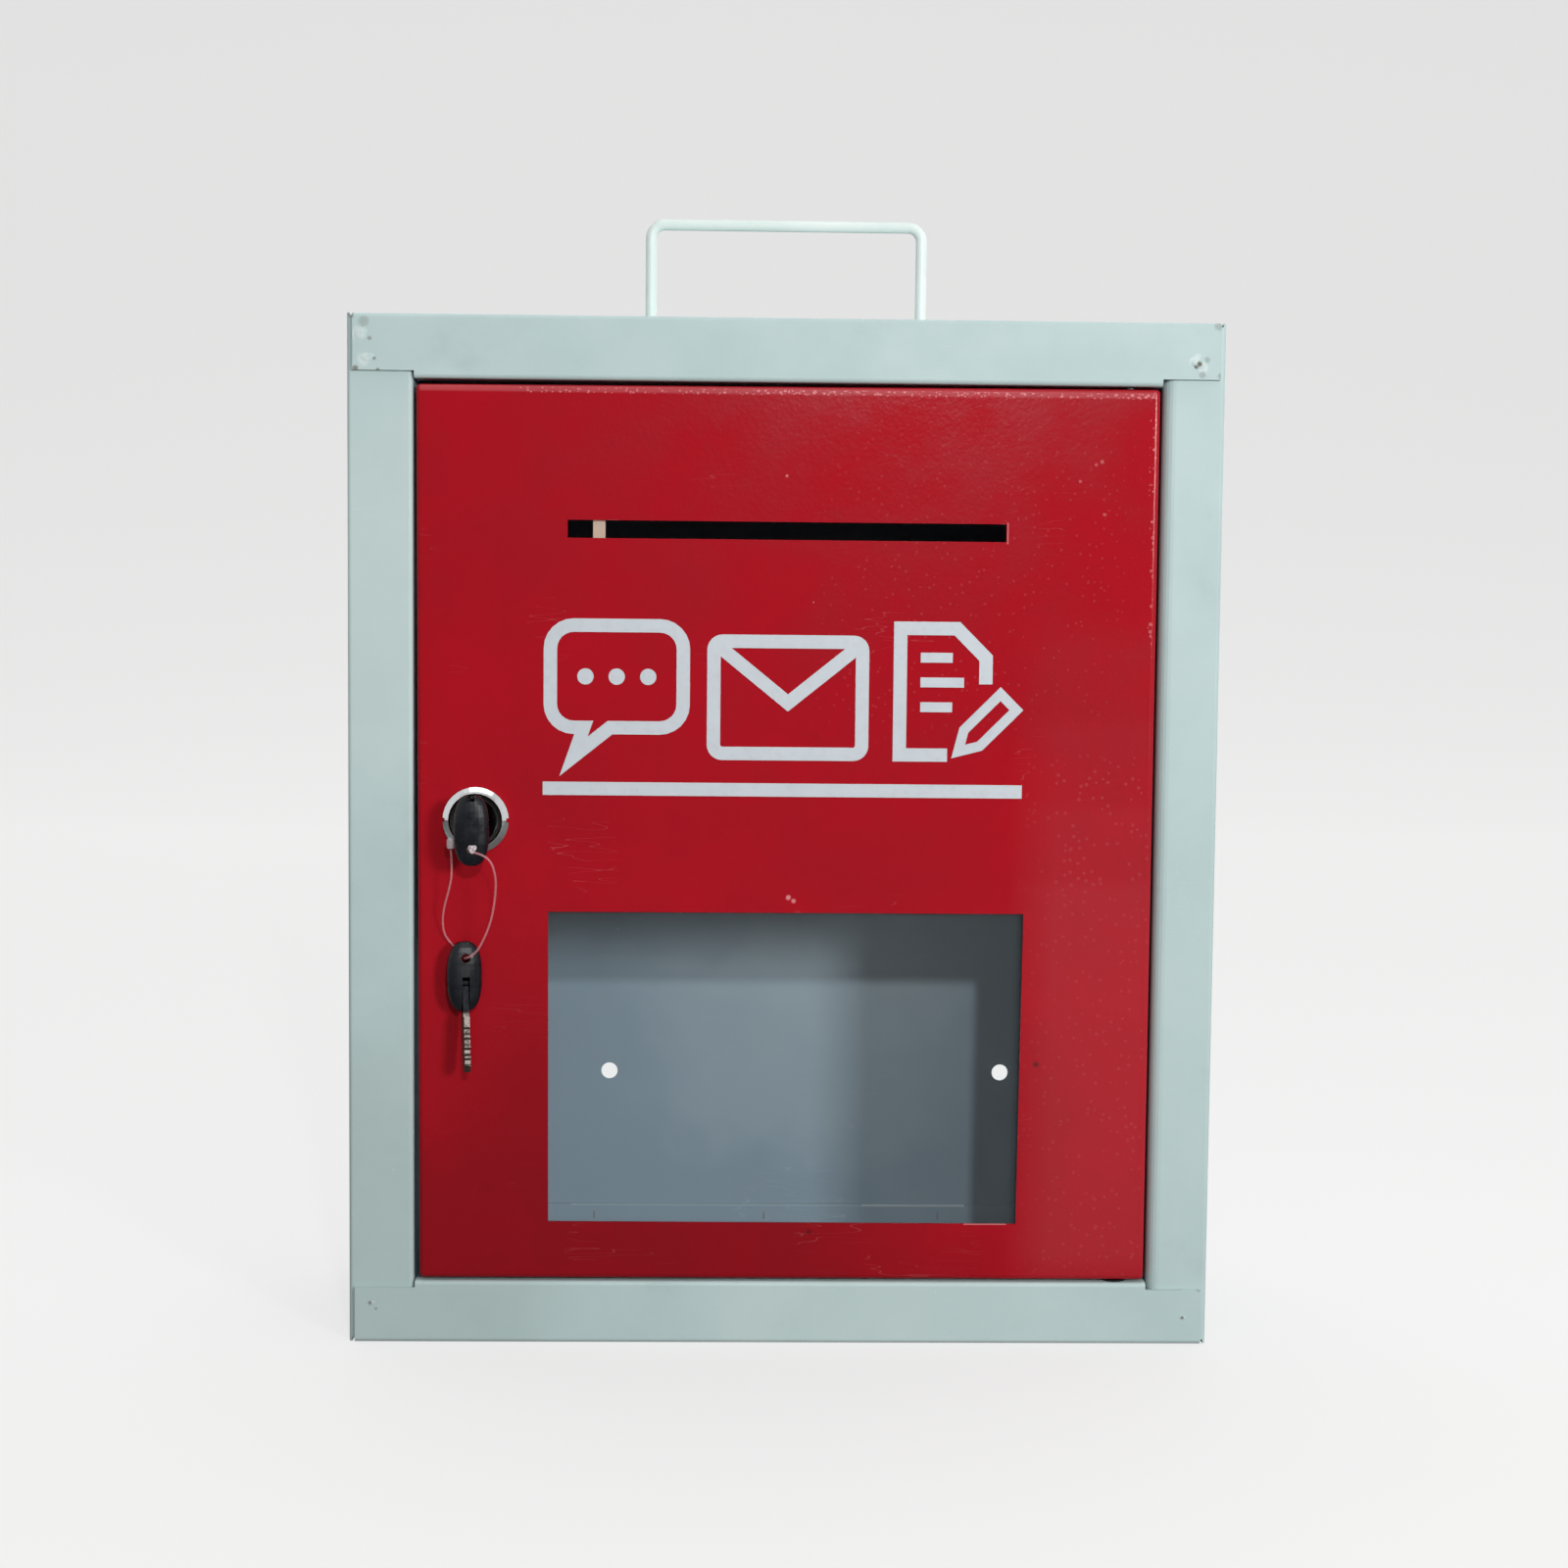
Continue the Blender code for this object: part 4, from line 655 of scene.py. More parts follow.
@dataclass(frozen=True)
class Strip:
    """A straight mark in a block between two corners, such as a painted highlight along a bend or a
    saw nick.

    Where grain is above 0, the mark is broken into grains of about that size.
    """

    low: Point
    high: Point
    strength: float
    dark: bool = False
    grain: float = 0.0
    fill: float = 0.36
    grain_share: float = 0.6
    softness: float = 0.0004

    def mask(self, tree: FinishTree) -> Socket:
        """Where the strip shows.

        Args:
            tree: The material's tree.

        Returns:
            The mask.
        """
        block = {"Low": self.low, "High": self.high, "Softness": self.softness}
        mask = tree.mask(tree.effects.room, **block)
        if self.grain:
            grains = Specks(self.grain, self.fill, self.grain_share, strength=1.0)
            mask = tree.math("MULTIPLY", mask, grains.mask(tree))
        return tree.math("MULTIPLY", mask, self.strength)


# Kinds of finish


def case_walls() -> tuple[Point, Point]:
    """The room behind the door, out to the middles of the sheets.

    Returns:
        Its lowest and its highest corner.
    """
    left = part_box("left_side_panel")[0]
    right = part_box("right_side_panel")[1]
    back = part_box("back_panel")
    half = (back[1][1] - back[0][1]) / 2
    door_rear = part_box("pane_channel_left")[1][1]
    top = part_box("top_cap")[1][2]
    return (left[0] + half, door_rear, half), (right[0] - half, back[1][1] - half, top - half)


@dataclass(frozen=True)
class Finish:
    """What every finish has: a name, and a way to become a material."""

    name: str

    def material(self, effects: Effects) -> bpy.types.Material:
        """Build the material.

        Args:
            effects: The shared effects.

        Returns:
            The material.
        """
        tree = FinishTree(self.name, effects)
        self.fill(tree)
        return tree.material

    def fill(self, tree: FinishTree) -> None:
        """Add the finish's own nodes to its tree."""
        raise NotImplementedError


@dataclass(frozen=True)
class BakedCoat(Finish):
    """Baked paint on sheet steel: peel, clouds, dirt, specks, scratches, stain spots, and painted
    light and shade.
    """

    colour: Colour = (0.5, 0.5, 0.5)
    cloud_colour: Colour = (0.45, 0.45, 0.45)
    # Painted shade: the paint's darker, bluer colour inside the case.
    inside_shade_colour: Colour | None = None
    # Colour of paler spots, and of painted pools of light and painted highlights.
    pale_and_lit_colour: Colour = (0.7, 0.7, 0.7)
    # Colour of dirt, stain spots and painted shade.
    dirt_and_shade_colour: Colour = (0.2, 0.17, 0.13)
    # Colour of specks, scratches and painted highlights.
    speck_and_highlight_colour: Colour = (0.8, 0.8, 0.8)
    peel_size: float = 0.0011
    peel_rise: float = 0.00004
    cloud_size: float = 0.05
    roughness: float = 0.4
    smoother: float = 0.04
    duller: float = 0.06
    dirt_roughness: float = 0.35
    gloss: float = 0.35
    wall_softness: float = 0.0001
    dirt: Patches = Patches()
    specks: Specks = Specks()
    scratches: Scratches = Scratches()
    # Dark spots: stain marks and painted shade.
    stains_and_shade: tuple[RaggedSpot, ...] = ()
    # Paler spots, and painted pools of light and painted highlights.
    pale_spots_and_light: tuple[RaggedSpot, ...] = ()
    # Straight marks: nicks, and painted highlights and sheen.
    strips: tuple[Strip, ...] = ()

    def fill(self, tree: FinishTree) -> None:
        """Add the coat's nodes: its paint, dirt and painted shade over that, and pale marks and
        painted highlights over both.

        Args:
            tree: The material's tree.
        """
        skin = tree.effect(tree.effects.coat, Peel=self.peel_size, Cloud=self.cloud_size).outputs
        # Dark marks: dirt, stain spots, nicks and painted shade. Pale marks: specks, scratches, and
        # painted highlights and sheen.
        dark = (self.dirt, *self.stains_and_shade, *(strip for strip in self.strips if strip.dark))
        pale = (self.specks, self.scratches, *(strip for strip in self.strips if not strip.dark))
        dirt = tree.most(*(mark.mask(tree) for mark in dark))
        marks = tree.most(*(mark.mask(tree) for mark in pale))
        colour = tree.blend(dirt, self._paint(tree, skin["Clouds"]), self.dirt_and_shade_colour)
        colour = tree.blend(marks, colour, self.speck_and_highlight_colour)
        ends = self.roughness - self.smoother, self.roughness + self.duller
        rough = tree.ramp(skin["Clouds"], 0.0, 1.0, *ends)
        rough = tree.math("ADD", rough, tree.math("MULTIPLY", dirt, self.dirt_roughness))
        tree.cover(colour, rough, skin["Peel"], self.peel_rise)
        tree.put(tree.shader, {"Specular IOR Level": self.gloss})

    def _paint(self, tree: FinishTree, clouds: Socket) -> Socket:
        """The paint itself: its clouds, a painted shade inside the case, and its paler spots and
        painted pools of light.

        Args:
            tree: The material's tree.
            clouds: How far the second colour shows.

        Returns:
            The colour.
        """
        colour = tree.blend(clouds, self.colour, self.cloud_colour)
        inside: Any = 1.0
        # Painted shade: a darker, bluer colour on the case's inside walls.
        if self.inside_shade_colour is not None:
            low, high = case_walls()
            walls = {"Low": low, "High": high, "Softness": self.wall_softness}
            inside = tree.mask(tree.effects.room, **walls)
            colour = tree.blend(inside, colour, self.inside_shade_colour)
        # Paler spots, and on the case painted pools of light and painted highlights.
        for paler_patch in self.pale_spots_and_light:
            mask = paler_patch.mask(tree)
            if paler_patch.within:
                mask = tree.math("MULTIPLY", mask, inside)
            colour = tree.blend(mask, colour, self.pale_and_lit_colour)
        return colour


@dataclass(frozen=True)
class PlatedMetal(Finish):
    """Plated or bare metal: dull tarnish and fine bright scratches.

    Where it lies in a sleeve of another colour, such as a moulded key head, the
    sleeve shows in a ball about each of its centres.
    """

    colour: Colour = (0.6, 0.6, 0.6)
    tarnish: Colour = (0.3, 0.3, 0.3)
    dull: Patches = Patches(size=0.006, level=0.58, softness=0.25, strength=1.0)
    scratches: Scratches = Scratches(length=0.006, width=0.012, level=0.5, strength=1.0)
    scratch_shine: float = 0.3
    roughness: float = 0.2
    roughness_spread: float = 0.15
    metallic: float = 1.0
    bump_rise: float = 0.00001
    grain_size: float = 0.0004
    sleeve_centres: tuple[Point, ...] = ()
    sleeve_radius: float = 0.0112
    sleeve_ragged: float = 0.05
    sleeve_edge: float = 0.1
    sleeve_colour: Colour = (0.004, 0.0045, 0.006)

    def fill(self, tree: FinishTree) -> None:
        """Add the metal's nodes.

        Args:
            tree: The material's tree.
        """
        dull, lines = self.dull.mask(tree), self.scratches.mask(tree)
        colour = tree.blend(dull, self.colour, self.tarnish)
        shine = tree.math("MULTIPLY", lines, self.scratch_shine)
        colour = tree.blend(shine, colour, self.colour)
        for centre in self.sleeve_centres:
            ball = RaggedSpot(centre, self.sleeve_radius, 1.0, self.sleeve_ragged).mask(tree)
            colour = tree.blend(tree.ramp(ball, 0.0, self.sleeve_edge), colour, self.sleeve_colour)
        rough = tree.math("ADD", tree.math("MULTIPLY", dull, self.roughness_spread), self.roughness)
        rough = tree.math("ADD", rough, tree.math("MULTIPLY", lines, self.roughness_spread))
        grain = tree.noise(tree.place, self.grain_size, detail=3.0)
        tree.cover(colour, rough, grain, self.bump_rise)
        tree.put(tree.shader, {"Metallic": self.metallic})


@dataclass(frozen=True)
class MouldedPlastic(Finish):
    """Moulded plastic: spark-eroded grain, handling polish and dust."""

    colour: Colour = (0.01, 0.01, 0.01)
    dust: Colour = (0.25, 0.24, 0.22)
    dust_strength: float = 0.12
    dust_patches: Patches = Patches(size=0.003, level=0.5, softness=0.2, strength=1.0)
    roughness: float = 0.4
    roughness_spread: float = 0.1
    polish_size: float = 0.006
    grain_size: float = 0.00035
    grain_rise: float = 0.00002
    alpha: float = 1.0
    gloss: float = 0.5

    def fill(self, tree: FinishTree) -> None:
        """Add the plastic's nodes.

        Args:
            tree: The material's tree.
        """
        skin = tree.effect(tree.effects.coat, Peel=self.grain_size, Cloud=self.polish_size).outputs
        dust = tree.math("MULTIPLY", self.dust_patches.mask(tree), self.dust_strength)
        colour = tree.blend(dust, self.colour, self.dust)
        ends = self.roughness - self.roughness_spread, self.roughness + self.roughness_spread
        rough = tree.ramp(skin["Clouds"], 0.0, 1.0, *ends)
        tree.cover(colour, rough, skin["Peel"], self.grain_rise)
        tree.put(tree.shader, {"Alpha": self.alpha, "Specular IOR Level": self.gloss})


@dataclass(frozen=True)
class ClearSheet(Finish):
    """Clear acrylic: nearly all light goes through, with faint wipe marks and haze."""

    colour: Colour = (0.7, 0.8, 0.86)
    roughness: float = 0.08
    alpha: float = 0.03
    wipes: Scratches = Scratches(length=0.02, width=0.004, level=0.6, strength=0.02)
    haze: Patches = Patches(size=0.05, level=0.5, softness=0.3, strength=0.012)

    def fill(self, tree: FinishTree) -> None:
        """Add the sheet's nodes.

        Args:
            tree: The material's tree.
        """
        extra = tree.math("ADD", self.wipes.mask(tree), self.haze.mask(tree))
        alpha = tree.math("ADD", extra, self.alpha)
        surface = {"Base Color": as_rgba(self.colour), "Roughness": self.roughness, "Alpha": alpha}
        tree.put(tree.shader, surface)


# Marks and finishes of this box


def spots(y: float, *rows: tuple[float, float, float, float], **more: Any) -> tuple[RaggedSpot, ...]:
    """Ragged spots on one face of the box: stain marks, painted shade and painted light.

    Args:
        y: The face's Y.
        *rows: For each stain its X and Z, its radius and its strength.
        **more: What else holds for all of them.

    Returns:
        The spots.
    """
    return tuple(RaggedSpot((x, y, z), radius, strength, **more) for x, z, radius, strength in rows)


def case_stains_and_shade() -> tuple[RaggedSpot, ...]:
    """Dirt and small pits at the case's corners and laps, and painted shade over the lower left
    corner.

    Returns:
        The spots.
    """
    return spots(
        CASE_FRONT,
        (-0.1489, 0.3545, 0.0022, 0.85),
        (-0.1440, 0.3520, 0.0024, 0.30),
        (-0.1420, 0.3463, 0.0010, 0.50),
        (-0.1404, 0.3396, 0.0008, 0.65),
        (-0.1468, 0.3362, 0.0013, 0.75),
        (-0.1392, 0.3356, 0.0010, 0.75),
        (-0.1486, 0.3440, 0.0010, 0.50),
        (0.1405, 0.3410, 0.0013, 1.00),
        (0.1394, 0.3400, 0.0009, 0.85),
        (0.1432, 0.3424, 0.0013, 0.35),
        (0.1470, 0.3540, 0.0022, 0.35),
        (0.1480, 0.3370, 0.0014, 0.45),
        (-0.1425, 0.0141, 0.0009, 0.75),
        (-0.1405, 0.0119, 0.0008, 0.50),
        (-0.1490, 0.0015, 0.0016, 0.50),
        (0.1415, 0.0096, 0.0008, 0.80),
        (0.1470, 0.0196, 0.0012, 0.40),
        (0.1416, 0.3373, 0.0016, 0.35),
    # Painted shade: a broad grey patch over the lower left corner.
    ) + spots(CASE_FRONT, (-0.1420, 0.0400, 0.0900, 0.13), ragged=0.5)


def case_smears_and_painted_light() -> tuple[RaggedSpot, ...]:
    """Where the case's paint is paler: on the welds, partly smears and partly painted highlights,
    and in broad painted pools of light on the back panel and the front.

    Returns:
        The spots.
    """
    # Paler spots on the welds: partly smears, partly painted highlights on their raised rims.
    welds = spots(
        CASE_FRONT,
        (-0.1458, 0.3479, 0.0030, 0.45),
        (-0.1439, 0.3393, 0.0028, 0.50),
        (0.1386, 0.3420, 0.0019, 0.50),
        (0.1419, 0.3396, 0.0022, 0.45),
        (0.1399, 0.3435, 0.0015, 0.35),
    )
    # Painted pools of light on the inside of the back panel.
    back = spots(
        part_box("back_panel")[0][1],
        (0.0080, 0.0980, 0.0760, 0.09),
        (0.0200, 0.1800, 0.1150, 0.06),
        (-0.0350, 0.2600, 0.1100, 0.06),
        ragged=1.1,
        within=True,
    )
    # Painted light: broad paler patches on the bottom rail's right and the left stile's top.
    front = spots(
        CASE_FRONT,
        (0.0450, 0.0100, 0.0950, 0.15),
        (-0.1390, 0.2650, 0.1000, 0.20),
        ragged=0.5,
    )
    return welds + back + front


def flange_highlight_and_nicks() -> tuple[Strip, ...]:
    """A painted highlight along the top edge of the bottom's rear flange, and nicks below it.

    Returns:
        The strips.
    """
    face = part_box("back_panel")[0][1] - FLANGE_AHEAD
    near, far, top = face - MM, face + MM, FLANGE_TOP
    half = 0.5 * MM
    nicks = tuple(
        Strip((x - half, near, top - 6.0 * MM), (x + half, far, top - 2.6 * MM), 0.75, dark=True)
        for x in (-0.0708, -0.0043, 0.0640)
    )
    return nicks + (
        # Painted highlight along the flange's top edge, stronger towards its right.
        Strip((-0.080, near, top - 0.7 * MM), (0.036, far, top + 0.3 * MM), 0.20),
        Strip((0.034, near, top - 0.8 * MM), (0.0745, far, top + 0.3 * MM), 0.55, softness=0.0003),
    )


def door_highlights_and_nicks() -> tuple[Strip, ...]:
    """Painted highlights in grains on the door's upper bends, painted sheen at its upper right, a
    painted reflection at its right, and two bright nicks.

    Returns:
        The strips.
    """
    (left, face, _), (right, _, top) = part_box("door_panel")
    deep = 0.05

    def bar(low: Place, high: Place, strength: float, **more: float) -> Strip:
        """A mark on the door's face between two corners (x, z)."""
        near, far = face - MM, face + 1.2 * MM
        return Strip((low[0], near, low[1]), (high[0], far, high[1]), strength, **more)

    def haze(low: Place, high: Place, strength: float, soft: float, **more: float) -> Strip:
        """Painted sheen: a mark with wide soft limits that holds its full strength on the door's
        face.
        """
        near, far = (low[0], face - deep, low[1]), (high[0], face + soft, high[1])
        return Strip(near, far, strength, softness=soft, **more)

    reflection_left, reflection_right, reflection_low = 0.078, right + 0.012, 0.016
    levels = ((0.258, 0.014), (0.230, 0.027), (0.202, 0.042), (0.176, 0.060))
    return (
        # Painted highlights: a pale line and grains along the top bend, and grains along the right
        # bend.
        bar((left + MM, top - 3.6 * MM), (right - MM, top - 0.7 * MM), 0.20, softness=0.0008),
        bar((-0.098, top - 3.7 * MM), (right - MM, top - 1.3 * MM), 0.60, grain=0.0012),
        bar((-0.030, top - 3.4 * MM), (right - MM, top - 1.5 * MM), 0.75, grain=0.0017),
        bar((right - 3.6 * MM, top - 0.046), (right - 1.2 * MM, top - MM), 0.70, grain=0.0013),
        bar((right - 3.2 * MM, top - 0.095), (right - 1.4 * MM, top - 0.046), 0.35, grain=0.0019),
        # Two bright nicks.
        bar((0.0755, 0.2790), (0.0762, 0.2865), 0.50, softness=0.0002),
        bar((0.0640, 0.0422), (0.0790, 0.0430), 0.55, softness=0.0002),
        # Painted sheen in grains at the upper right, and a painted reflection at the right that
        # fades upwards.
        haze((0.004, 0.205), (right, top), 0.06, 0.02, grain=0.0024, fill=0.22),
        haze((reflection_left, reflection_low), (reflection_right, 0.215), 0.11, 0.016, grain=0.0026, fill=0.26),
        *(
            haze((reflection_left, reflection_low), (reflection_right, height), strength, 0.016)
            for height, strength in levels
        ),
    )


class FinishName(Enum):
    """The record's material slots."""

    CASE = "case_paint"
    DOOR = "door_paint"
    HANDLE = "handle_paint"
    PANE = "clear_acrylic"
    ZINC = "zinc_steel"
    CHROME = "chrome"
    PLUG = "dark_plug"
    BRASS = "brass"
    KEY_HEAD = "key_plastic"
    KEY_STEEL = "key_steel"
    NYLON = "nylon"
    STRIP = "strip_coat"


def case_coat() -> BakedCoat:
    """The case's pale green-grey paint.

    Returns:
        The finish.
    """
    return BakedCoat(
        "case_coat",
        colour=linear(183, 203, 202),
        cloud_colour=linear(176, 197, 196),
        # Painted shade inside the case.
        inside_shade_colour=linear(124, 145, 158),
        # Colour of the paler spots, painted pools of light and painted highlights.
        pale_and_lit_colour=linear(222, 232, 230),
        # Colour of dirt, stain spots and the painted shade over the lower left corner.
        dirt_and_shade_colour=linear(104, 98, 86),
        speck_and_highlight_colour=linear(214, 226, 224),
        peel_size=0.0013,
        peel_rise=0.000035,
        roughness=0.42,
        gloss=0.25,
        dirt=Patches(level=0.60, strength=0.12),
        scratches=Scratches(strength=0.12),
        # Stain marks, pits, and painted shade over the lower left corner.
        stains_and_shade=case_stains_and_shade(),
        # Weld smears, painted highlights and painted pools of light.
        pale_spots_and_light=case_smears_and_painted_light(),
        # Painted highlight on the flange's edge, and nicks.
        strips=flange_highlight_and_nicks(),
    )


def door_coat() -> BakedCoat:
    """The door's red paint, darker towards its lower left, partly as painted shade, with painted
    highlights and sheen.

    Returns:
        The finish.
    """
    return BakedCoat(
        "door_coat",
        colour=linear(169, 20, 33),
        cloud_colour=linear(158, 19, 31),
        pale_and_lit_colour=linear(226, 150, 154),
        # Colour of dirt, and of the partly painted shade towards the lower left.
        dirt_and_shade_colour=linear(92, 12, 20),
        # Colour of specks, scratches, and the painted highlights and sheen.
        speck_and_highlight_colour=linear(222, 140, 146),
        peel_size=0.0014,
        peel_rise=0.00007,
        roughness=0.18,
        gloss=0.09,
        dirt=Patches(level=0.64, strength=0.35),
        specks=Specks(share=0.05, strength=0.55),
        scratches=Scratches(strength=0.10),
        stains_and_shade=spots(
            CASE_FRONT,
            # Darker towards the lower left, partly painted shade; then two small dark spots.
            (-0.060, -0.020, 0.1700, 0.45),
            (0.0100, 0.0395, 0.0014, 0.85),
            (0.0885, 0.0990, 0.0014, 0.85),
        ),
        pale_spots_and_light=(
            *spots(CASE_FRONT, (0.0018, 0.1568, 0.0011, 0.75), (0.0036, 0.1556, 0.0010, 0.65)),
            *spots(
                CASE_FRONT,
                (0.1078, 0.3075, 0.0009, 0.30),
                (0.1058, 0.3064, 0.0007, 0.28),
                (0.1090, 0.2895, 0.0008, 0.26),
                ragged=1.3,
            ),
            *spots(CASE_FRONT, (0.1004, 0.3007, 0.0007, 0.30), (0.0000, 0.3015, 0.0007, 0.50)),
        ),
        # Painted highlights, sheen and reflection, and two nicks.
        strips=door_highlights_and_nicks(),
    )


def box_finishes() -> dict[FinishName, Finish]:
    """The finish of each material slot.

    Returns:
        The finishes.
    """
    return {
        FinishName.CASE: case_coat(),
        FinishName.DOOR: door_coat(),
        FinishName.HANDLE: BakedCoat(
            "handle_coat",
            colour=linear(226, 236, 233),
            cloud_colour=linear(214, 228, 224),
            dirt_and_shade_colour=linear(150, 150, 140),
            peel_size=0.0009,
            roughness=0.38,
            dirt=Patches(strength=0.15),
        ),
        FinishName.PANE: ClearSheet("clear_sheet"),
        FinishName.ZINC: PlatedMetal(
            "zinc_plate",
            colour=(0.62, 0.63, 0.64),
            tarnish=(0.42, 0.42, 0.40),
            roughness=0.28,
        ),
        FinishName.CHROME: PlatedMetal(
            "chrome_plate",
            colour=(0.64, 0.65, 0.66),
            tarnish=(0.40, 0.41, 0.42),
            roughness=0.06,
            roughness_spread=0.10,
            bump_rise=0.000002,
        ),
        FinishName.PLUG: PlatedMetal(
            "dark_plate",
            colour=(0.10, 0.10, 0.115),
            tarnish=(0.03, 0.03, 0.035),
            roughness=0.12,
            roughness_spread=0.12,
            bump_rise=0.000003,
        ),
        FinishName.BRASS: PlatedMetal(
            "rolled_brass", colour=(0.75, 0.58, 0.28), tarnish=(0.40, 0.28, 0.12)
        ),
        FinishName.KEY_HEAD: MouldedPlastic(
            "black_moulding",
            colour=(0.005, 0.006, 0.009),
            dust=(0.08, 0.085, 0.09),
            dust_strength=0.06,
            roughness=0.34,
            gloss=0.28,
        ),
        FinishName.KEY_STEEL: PlatedMetal(
            "key_plate",
            colour=(0.120, 0.104, 0.095),
            tarnish=(0.042, 0.036, 0.032),
            dull=Patches(size=0.0016, level=0.46, softness=0.25, strength=1.0),
            roughness=0.38,
            roughness_spread=0.2,
            metallic=0.9,
            bump_rise=0.00004,
            grain_size=0.0009,
            sleeve_centres=((-0.1091, -0.0554, 0.1271), (-0.1058, -0.0642, 0.1829)),
        ),
        FinishName.NYLON: MouldedPlastic(
            "clear_nylon",
            colour=(0.80, 0.74, 0.76),
            dust=(0.6, 0.5, 0.48),
            roughness=0.25,
            alpha=0.52,
        ),
        FinishName.STRIP: BakedCoat(
            "cream_primer",
            colour=linear(196, 176, 158),
            cloud_colour=linear(182, 158, 138),
            dirt_and_shade_colour=linear(120, 96, 78),
            roughness=0.6,
            dirt=Patches(strength=0.4),
        ),
    }


# The pieces


@dataclass
class BoxDressing:
    """Gives every carried-over piece its finish."""

    materials: dict[FinishName, bpy.types.Material] = field(default_factory=dict)
    # Painted shade: the pivots wear black, so they stay dark.
    pivot_shade_finish: PlatedMetal = PlatedMetal(
        "black_steel", colour=(0.05, 0.05, 0.05), tarnish=(0.02, 0.02, 0.02), roughness=0.45
    )

    def prepare(self, effects: Effects) -> None:
        """Build the material of each slot."""
        for name, finish in box_finishes().items():
            self.materials[name] = finish.material(effects)

    def dress(self, effects: Effects) -> None:
        """Assign the materials by the record's slots; the pivots wear black instead, a painted
        shade.

        Args:
            effects: The shared effects.
        """
        pivot_shade = self.pivot_shade_finish.material(effects)
        for entry in frame["record"]["subparts"]:
            node = frame["nodes"][entry["node"]]
            finish = FinishName(entry["material_slot"])
            # Painted shade: black on the pivots instead of their slot's finish.
            material = pivot_shade if "pivot" in entry["node"] else self.materials[finish]
            for slot in node.material_slots:
                slot.material = material
            LOG.info("dressed %s in %s", entry["node"], finish.value)


@dataclass
class Sign:
    """White vinyl pictograms on the door, where such a box says what it is for.

    They are a speech bubble, an envelope, a sheet with a pencil, and a bar
    below. Their places are (x, z).
    """

    stroke: float = 0.0046
    thin_stroke: float = 0.0034
    film: float = 0.00012
    film_step: float = 0.000015
    film_gap: float = 0.00001
    bubble: tuple[Place, Place] = ((-0.0805, 0.2150), (-0.0350, 0.2500))
    bubble_corner: float = 0.008
    bubble_tail: tuple[Place, ...] = ((-0.0690, 0.2150), (-0.0725, 0.2050), (-0.0600, 0.2150))
    dots: tuple[Place, ...] = ((-0.0685, 0.2325), (-0.0578, 0.2325), (-0.0470, 0.2325))
    dot_radius: float = 0.0028
    envelope: tuple[Place, Place] = ((-0.0245, 0.2065), (0.0265, 0.2450))
    envelope_corner: float = 0.003
    flap: tuple[Place, ...] = ((-0.0225, 0.2430), (0.0010, 0.2240), (0.0245, 0.2430))
    sheet: tuple[Place, ...] = (
        (0.0560, 0.2065),
        (0.0395, 0.2065),
        (0.0395, 0.2500),
        (0.0590, 0.2500),
        (0.0690, 0.2400),
        (0.0690, 0.2310),
    )
    pencil: tuple[Place, ...] = (
        (0.0598, 0.2078),
        (0.0617, 0.2152),
        (0.0742, 0.2277),
        (0.0797, 0.2222),
        (0.0672, 0.2097),
    )
    lines: tuple[tuple[Place, Place], ...] = (
        ((0.0465, 0.2400), (0.0575, 0.2400)),
        ((0.0465, 0.2315), (0.0615, 0.2315)),
        ((0.0465, 0.2230), (0.0575, 0.2230)),
    )
    bar: tuple[Place, Place] = ((-0.083, 0.1940), (0.082, 0.1940))
    finish: MouldedPlastic = MouldedPlastic(
        "white_film",
        colour=linear(196, 203, 209),
        dust=linear(150, 140, 140),
        dust_strength=0.15,
        roughness=0.38,
        grain_size=0.0008,
        grain_rise=0.00001,
    )

    def _bubble_path(self) -> np.ndarray:
        """Outline of the speech bubble, with its tail after the lower left corner.

        Returns:
            The points of the closed path.
        """
        path = round_box_path(*self.bubble, self.bubble_corner)
        on_lower_edge = np.isclose(path[:, 1], self.bubble[0][1])
        lower_left = int(np.argmin(np.where(on_lower_edge, path[:, 0], np.inf)))
        return np.insert(path, lower_left + 1, self.bubble_tail, axis=0)

    def _strokes(self) -> list[tuple[np.ndarray, bool, float]]:
        """Every stroke of the pictograms, from the lowest layer of film to the highest.

        Returns:
            For each stroke its path, whether it is closed, and its width.
        """
        envelope = round_box_path(*self.envelope, self.envelope_corner)
        return [
            (self._bubble_path(), True, self.stroke),
            (envelope, True, self.stroke),
            (np.array(self.flap), False, self.stroke),
            (np.array(self.sheet), False, self.stroke),
            (np.array(self.pencil), True, self.thin_stroke),
            *((np.array(line), False, self.thin_stroke) for line in self.lines),
            (np.array(self.bar), False, self.stroke),
        ]

    def build(self, effects: Effects) -> bpy.types.Object:
        """Cut the film and lay it on the door, each stroke a little further out than the last.

        Args:
            effects: The shared effects.

        Returns:
            The sign.
        """
        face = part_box("door_panel")[0][1]
        rear = face - self.film_gap
        parts = [
            ribbon(path, closed, width, face - self.film - layer * self.film_step, rear)
            for layer, (path, closed, width) in enumerate(self._strokes())
        ]
        height = partial(np.full_like, fill_value=self.film)
        parts += [dome(dot, (self.dot_radius, self.dot_radius), rear, height) for dot in self.dots]
        sign = make_piece("sign_film", *join_surfaces(parts))
        sign.data.materials.append(self.finish.material(effects))
        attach(sign, "door")
        LOG.info("built sign_film")
        return sign


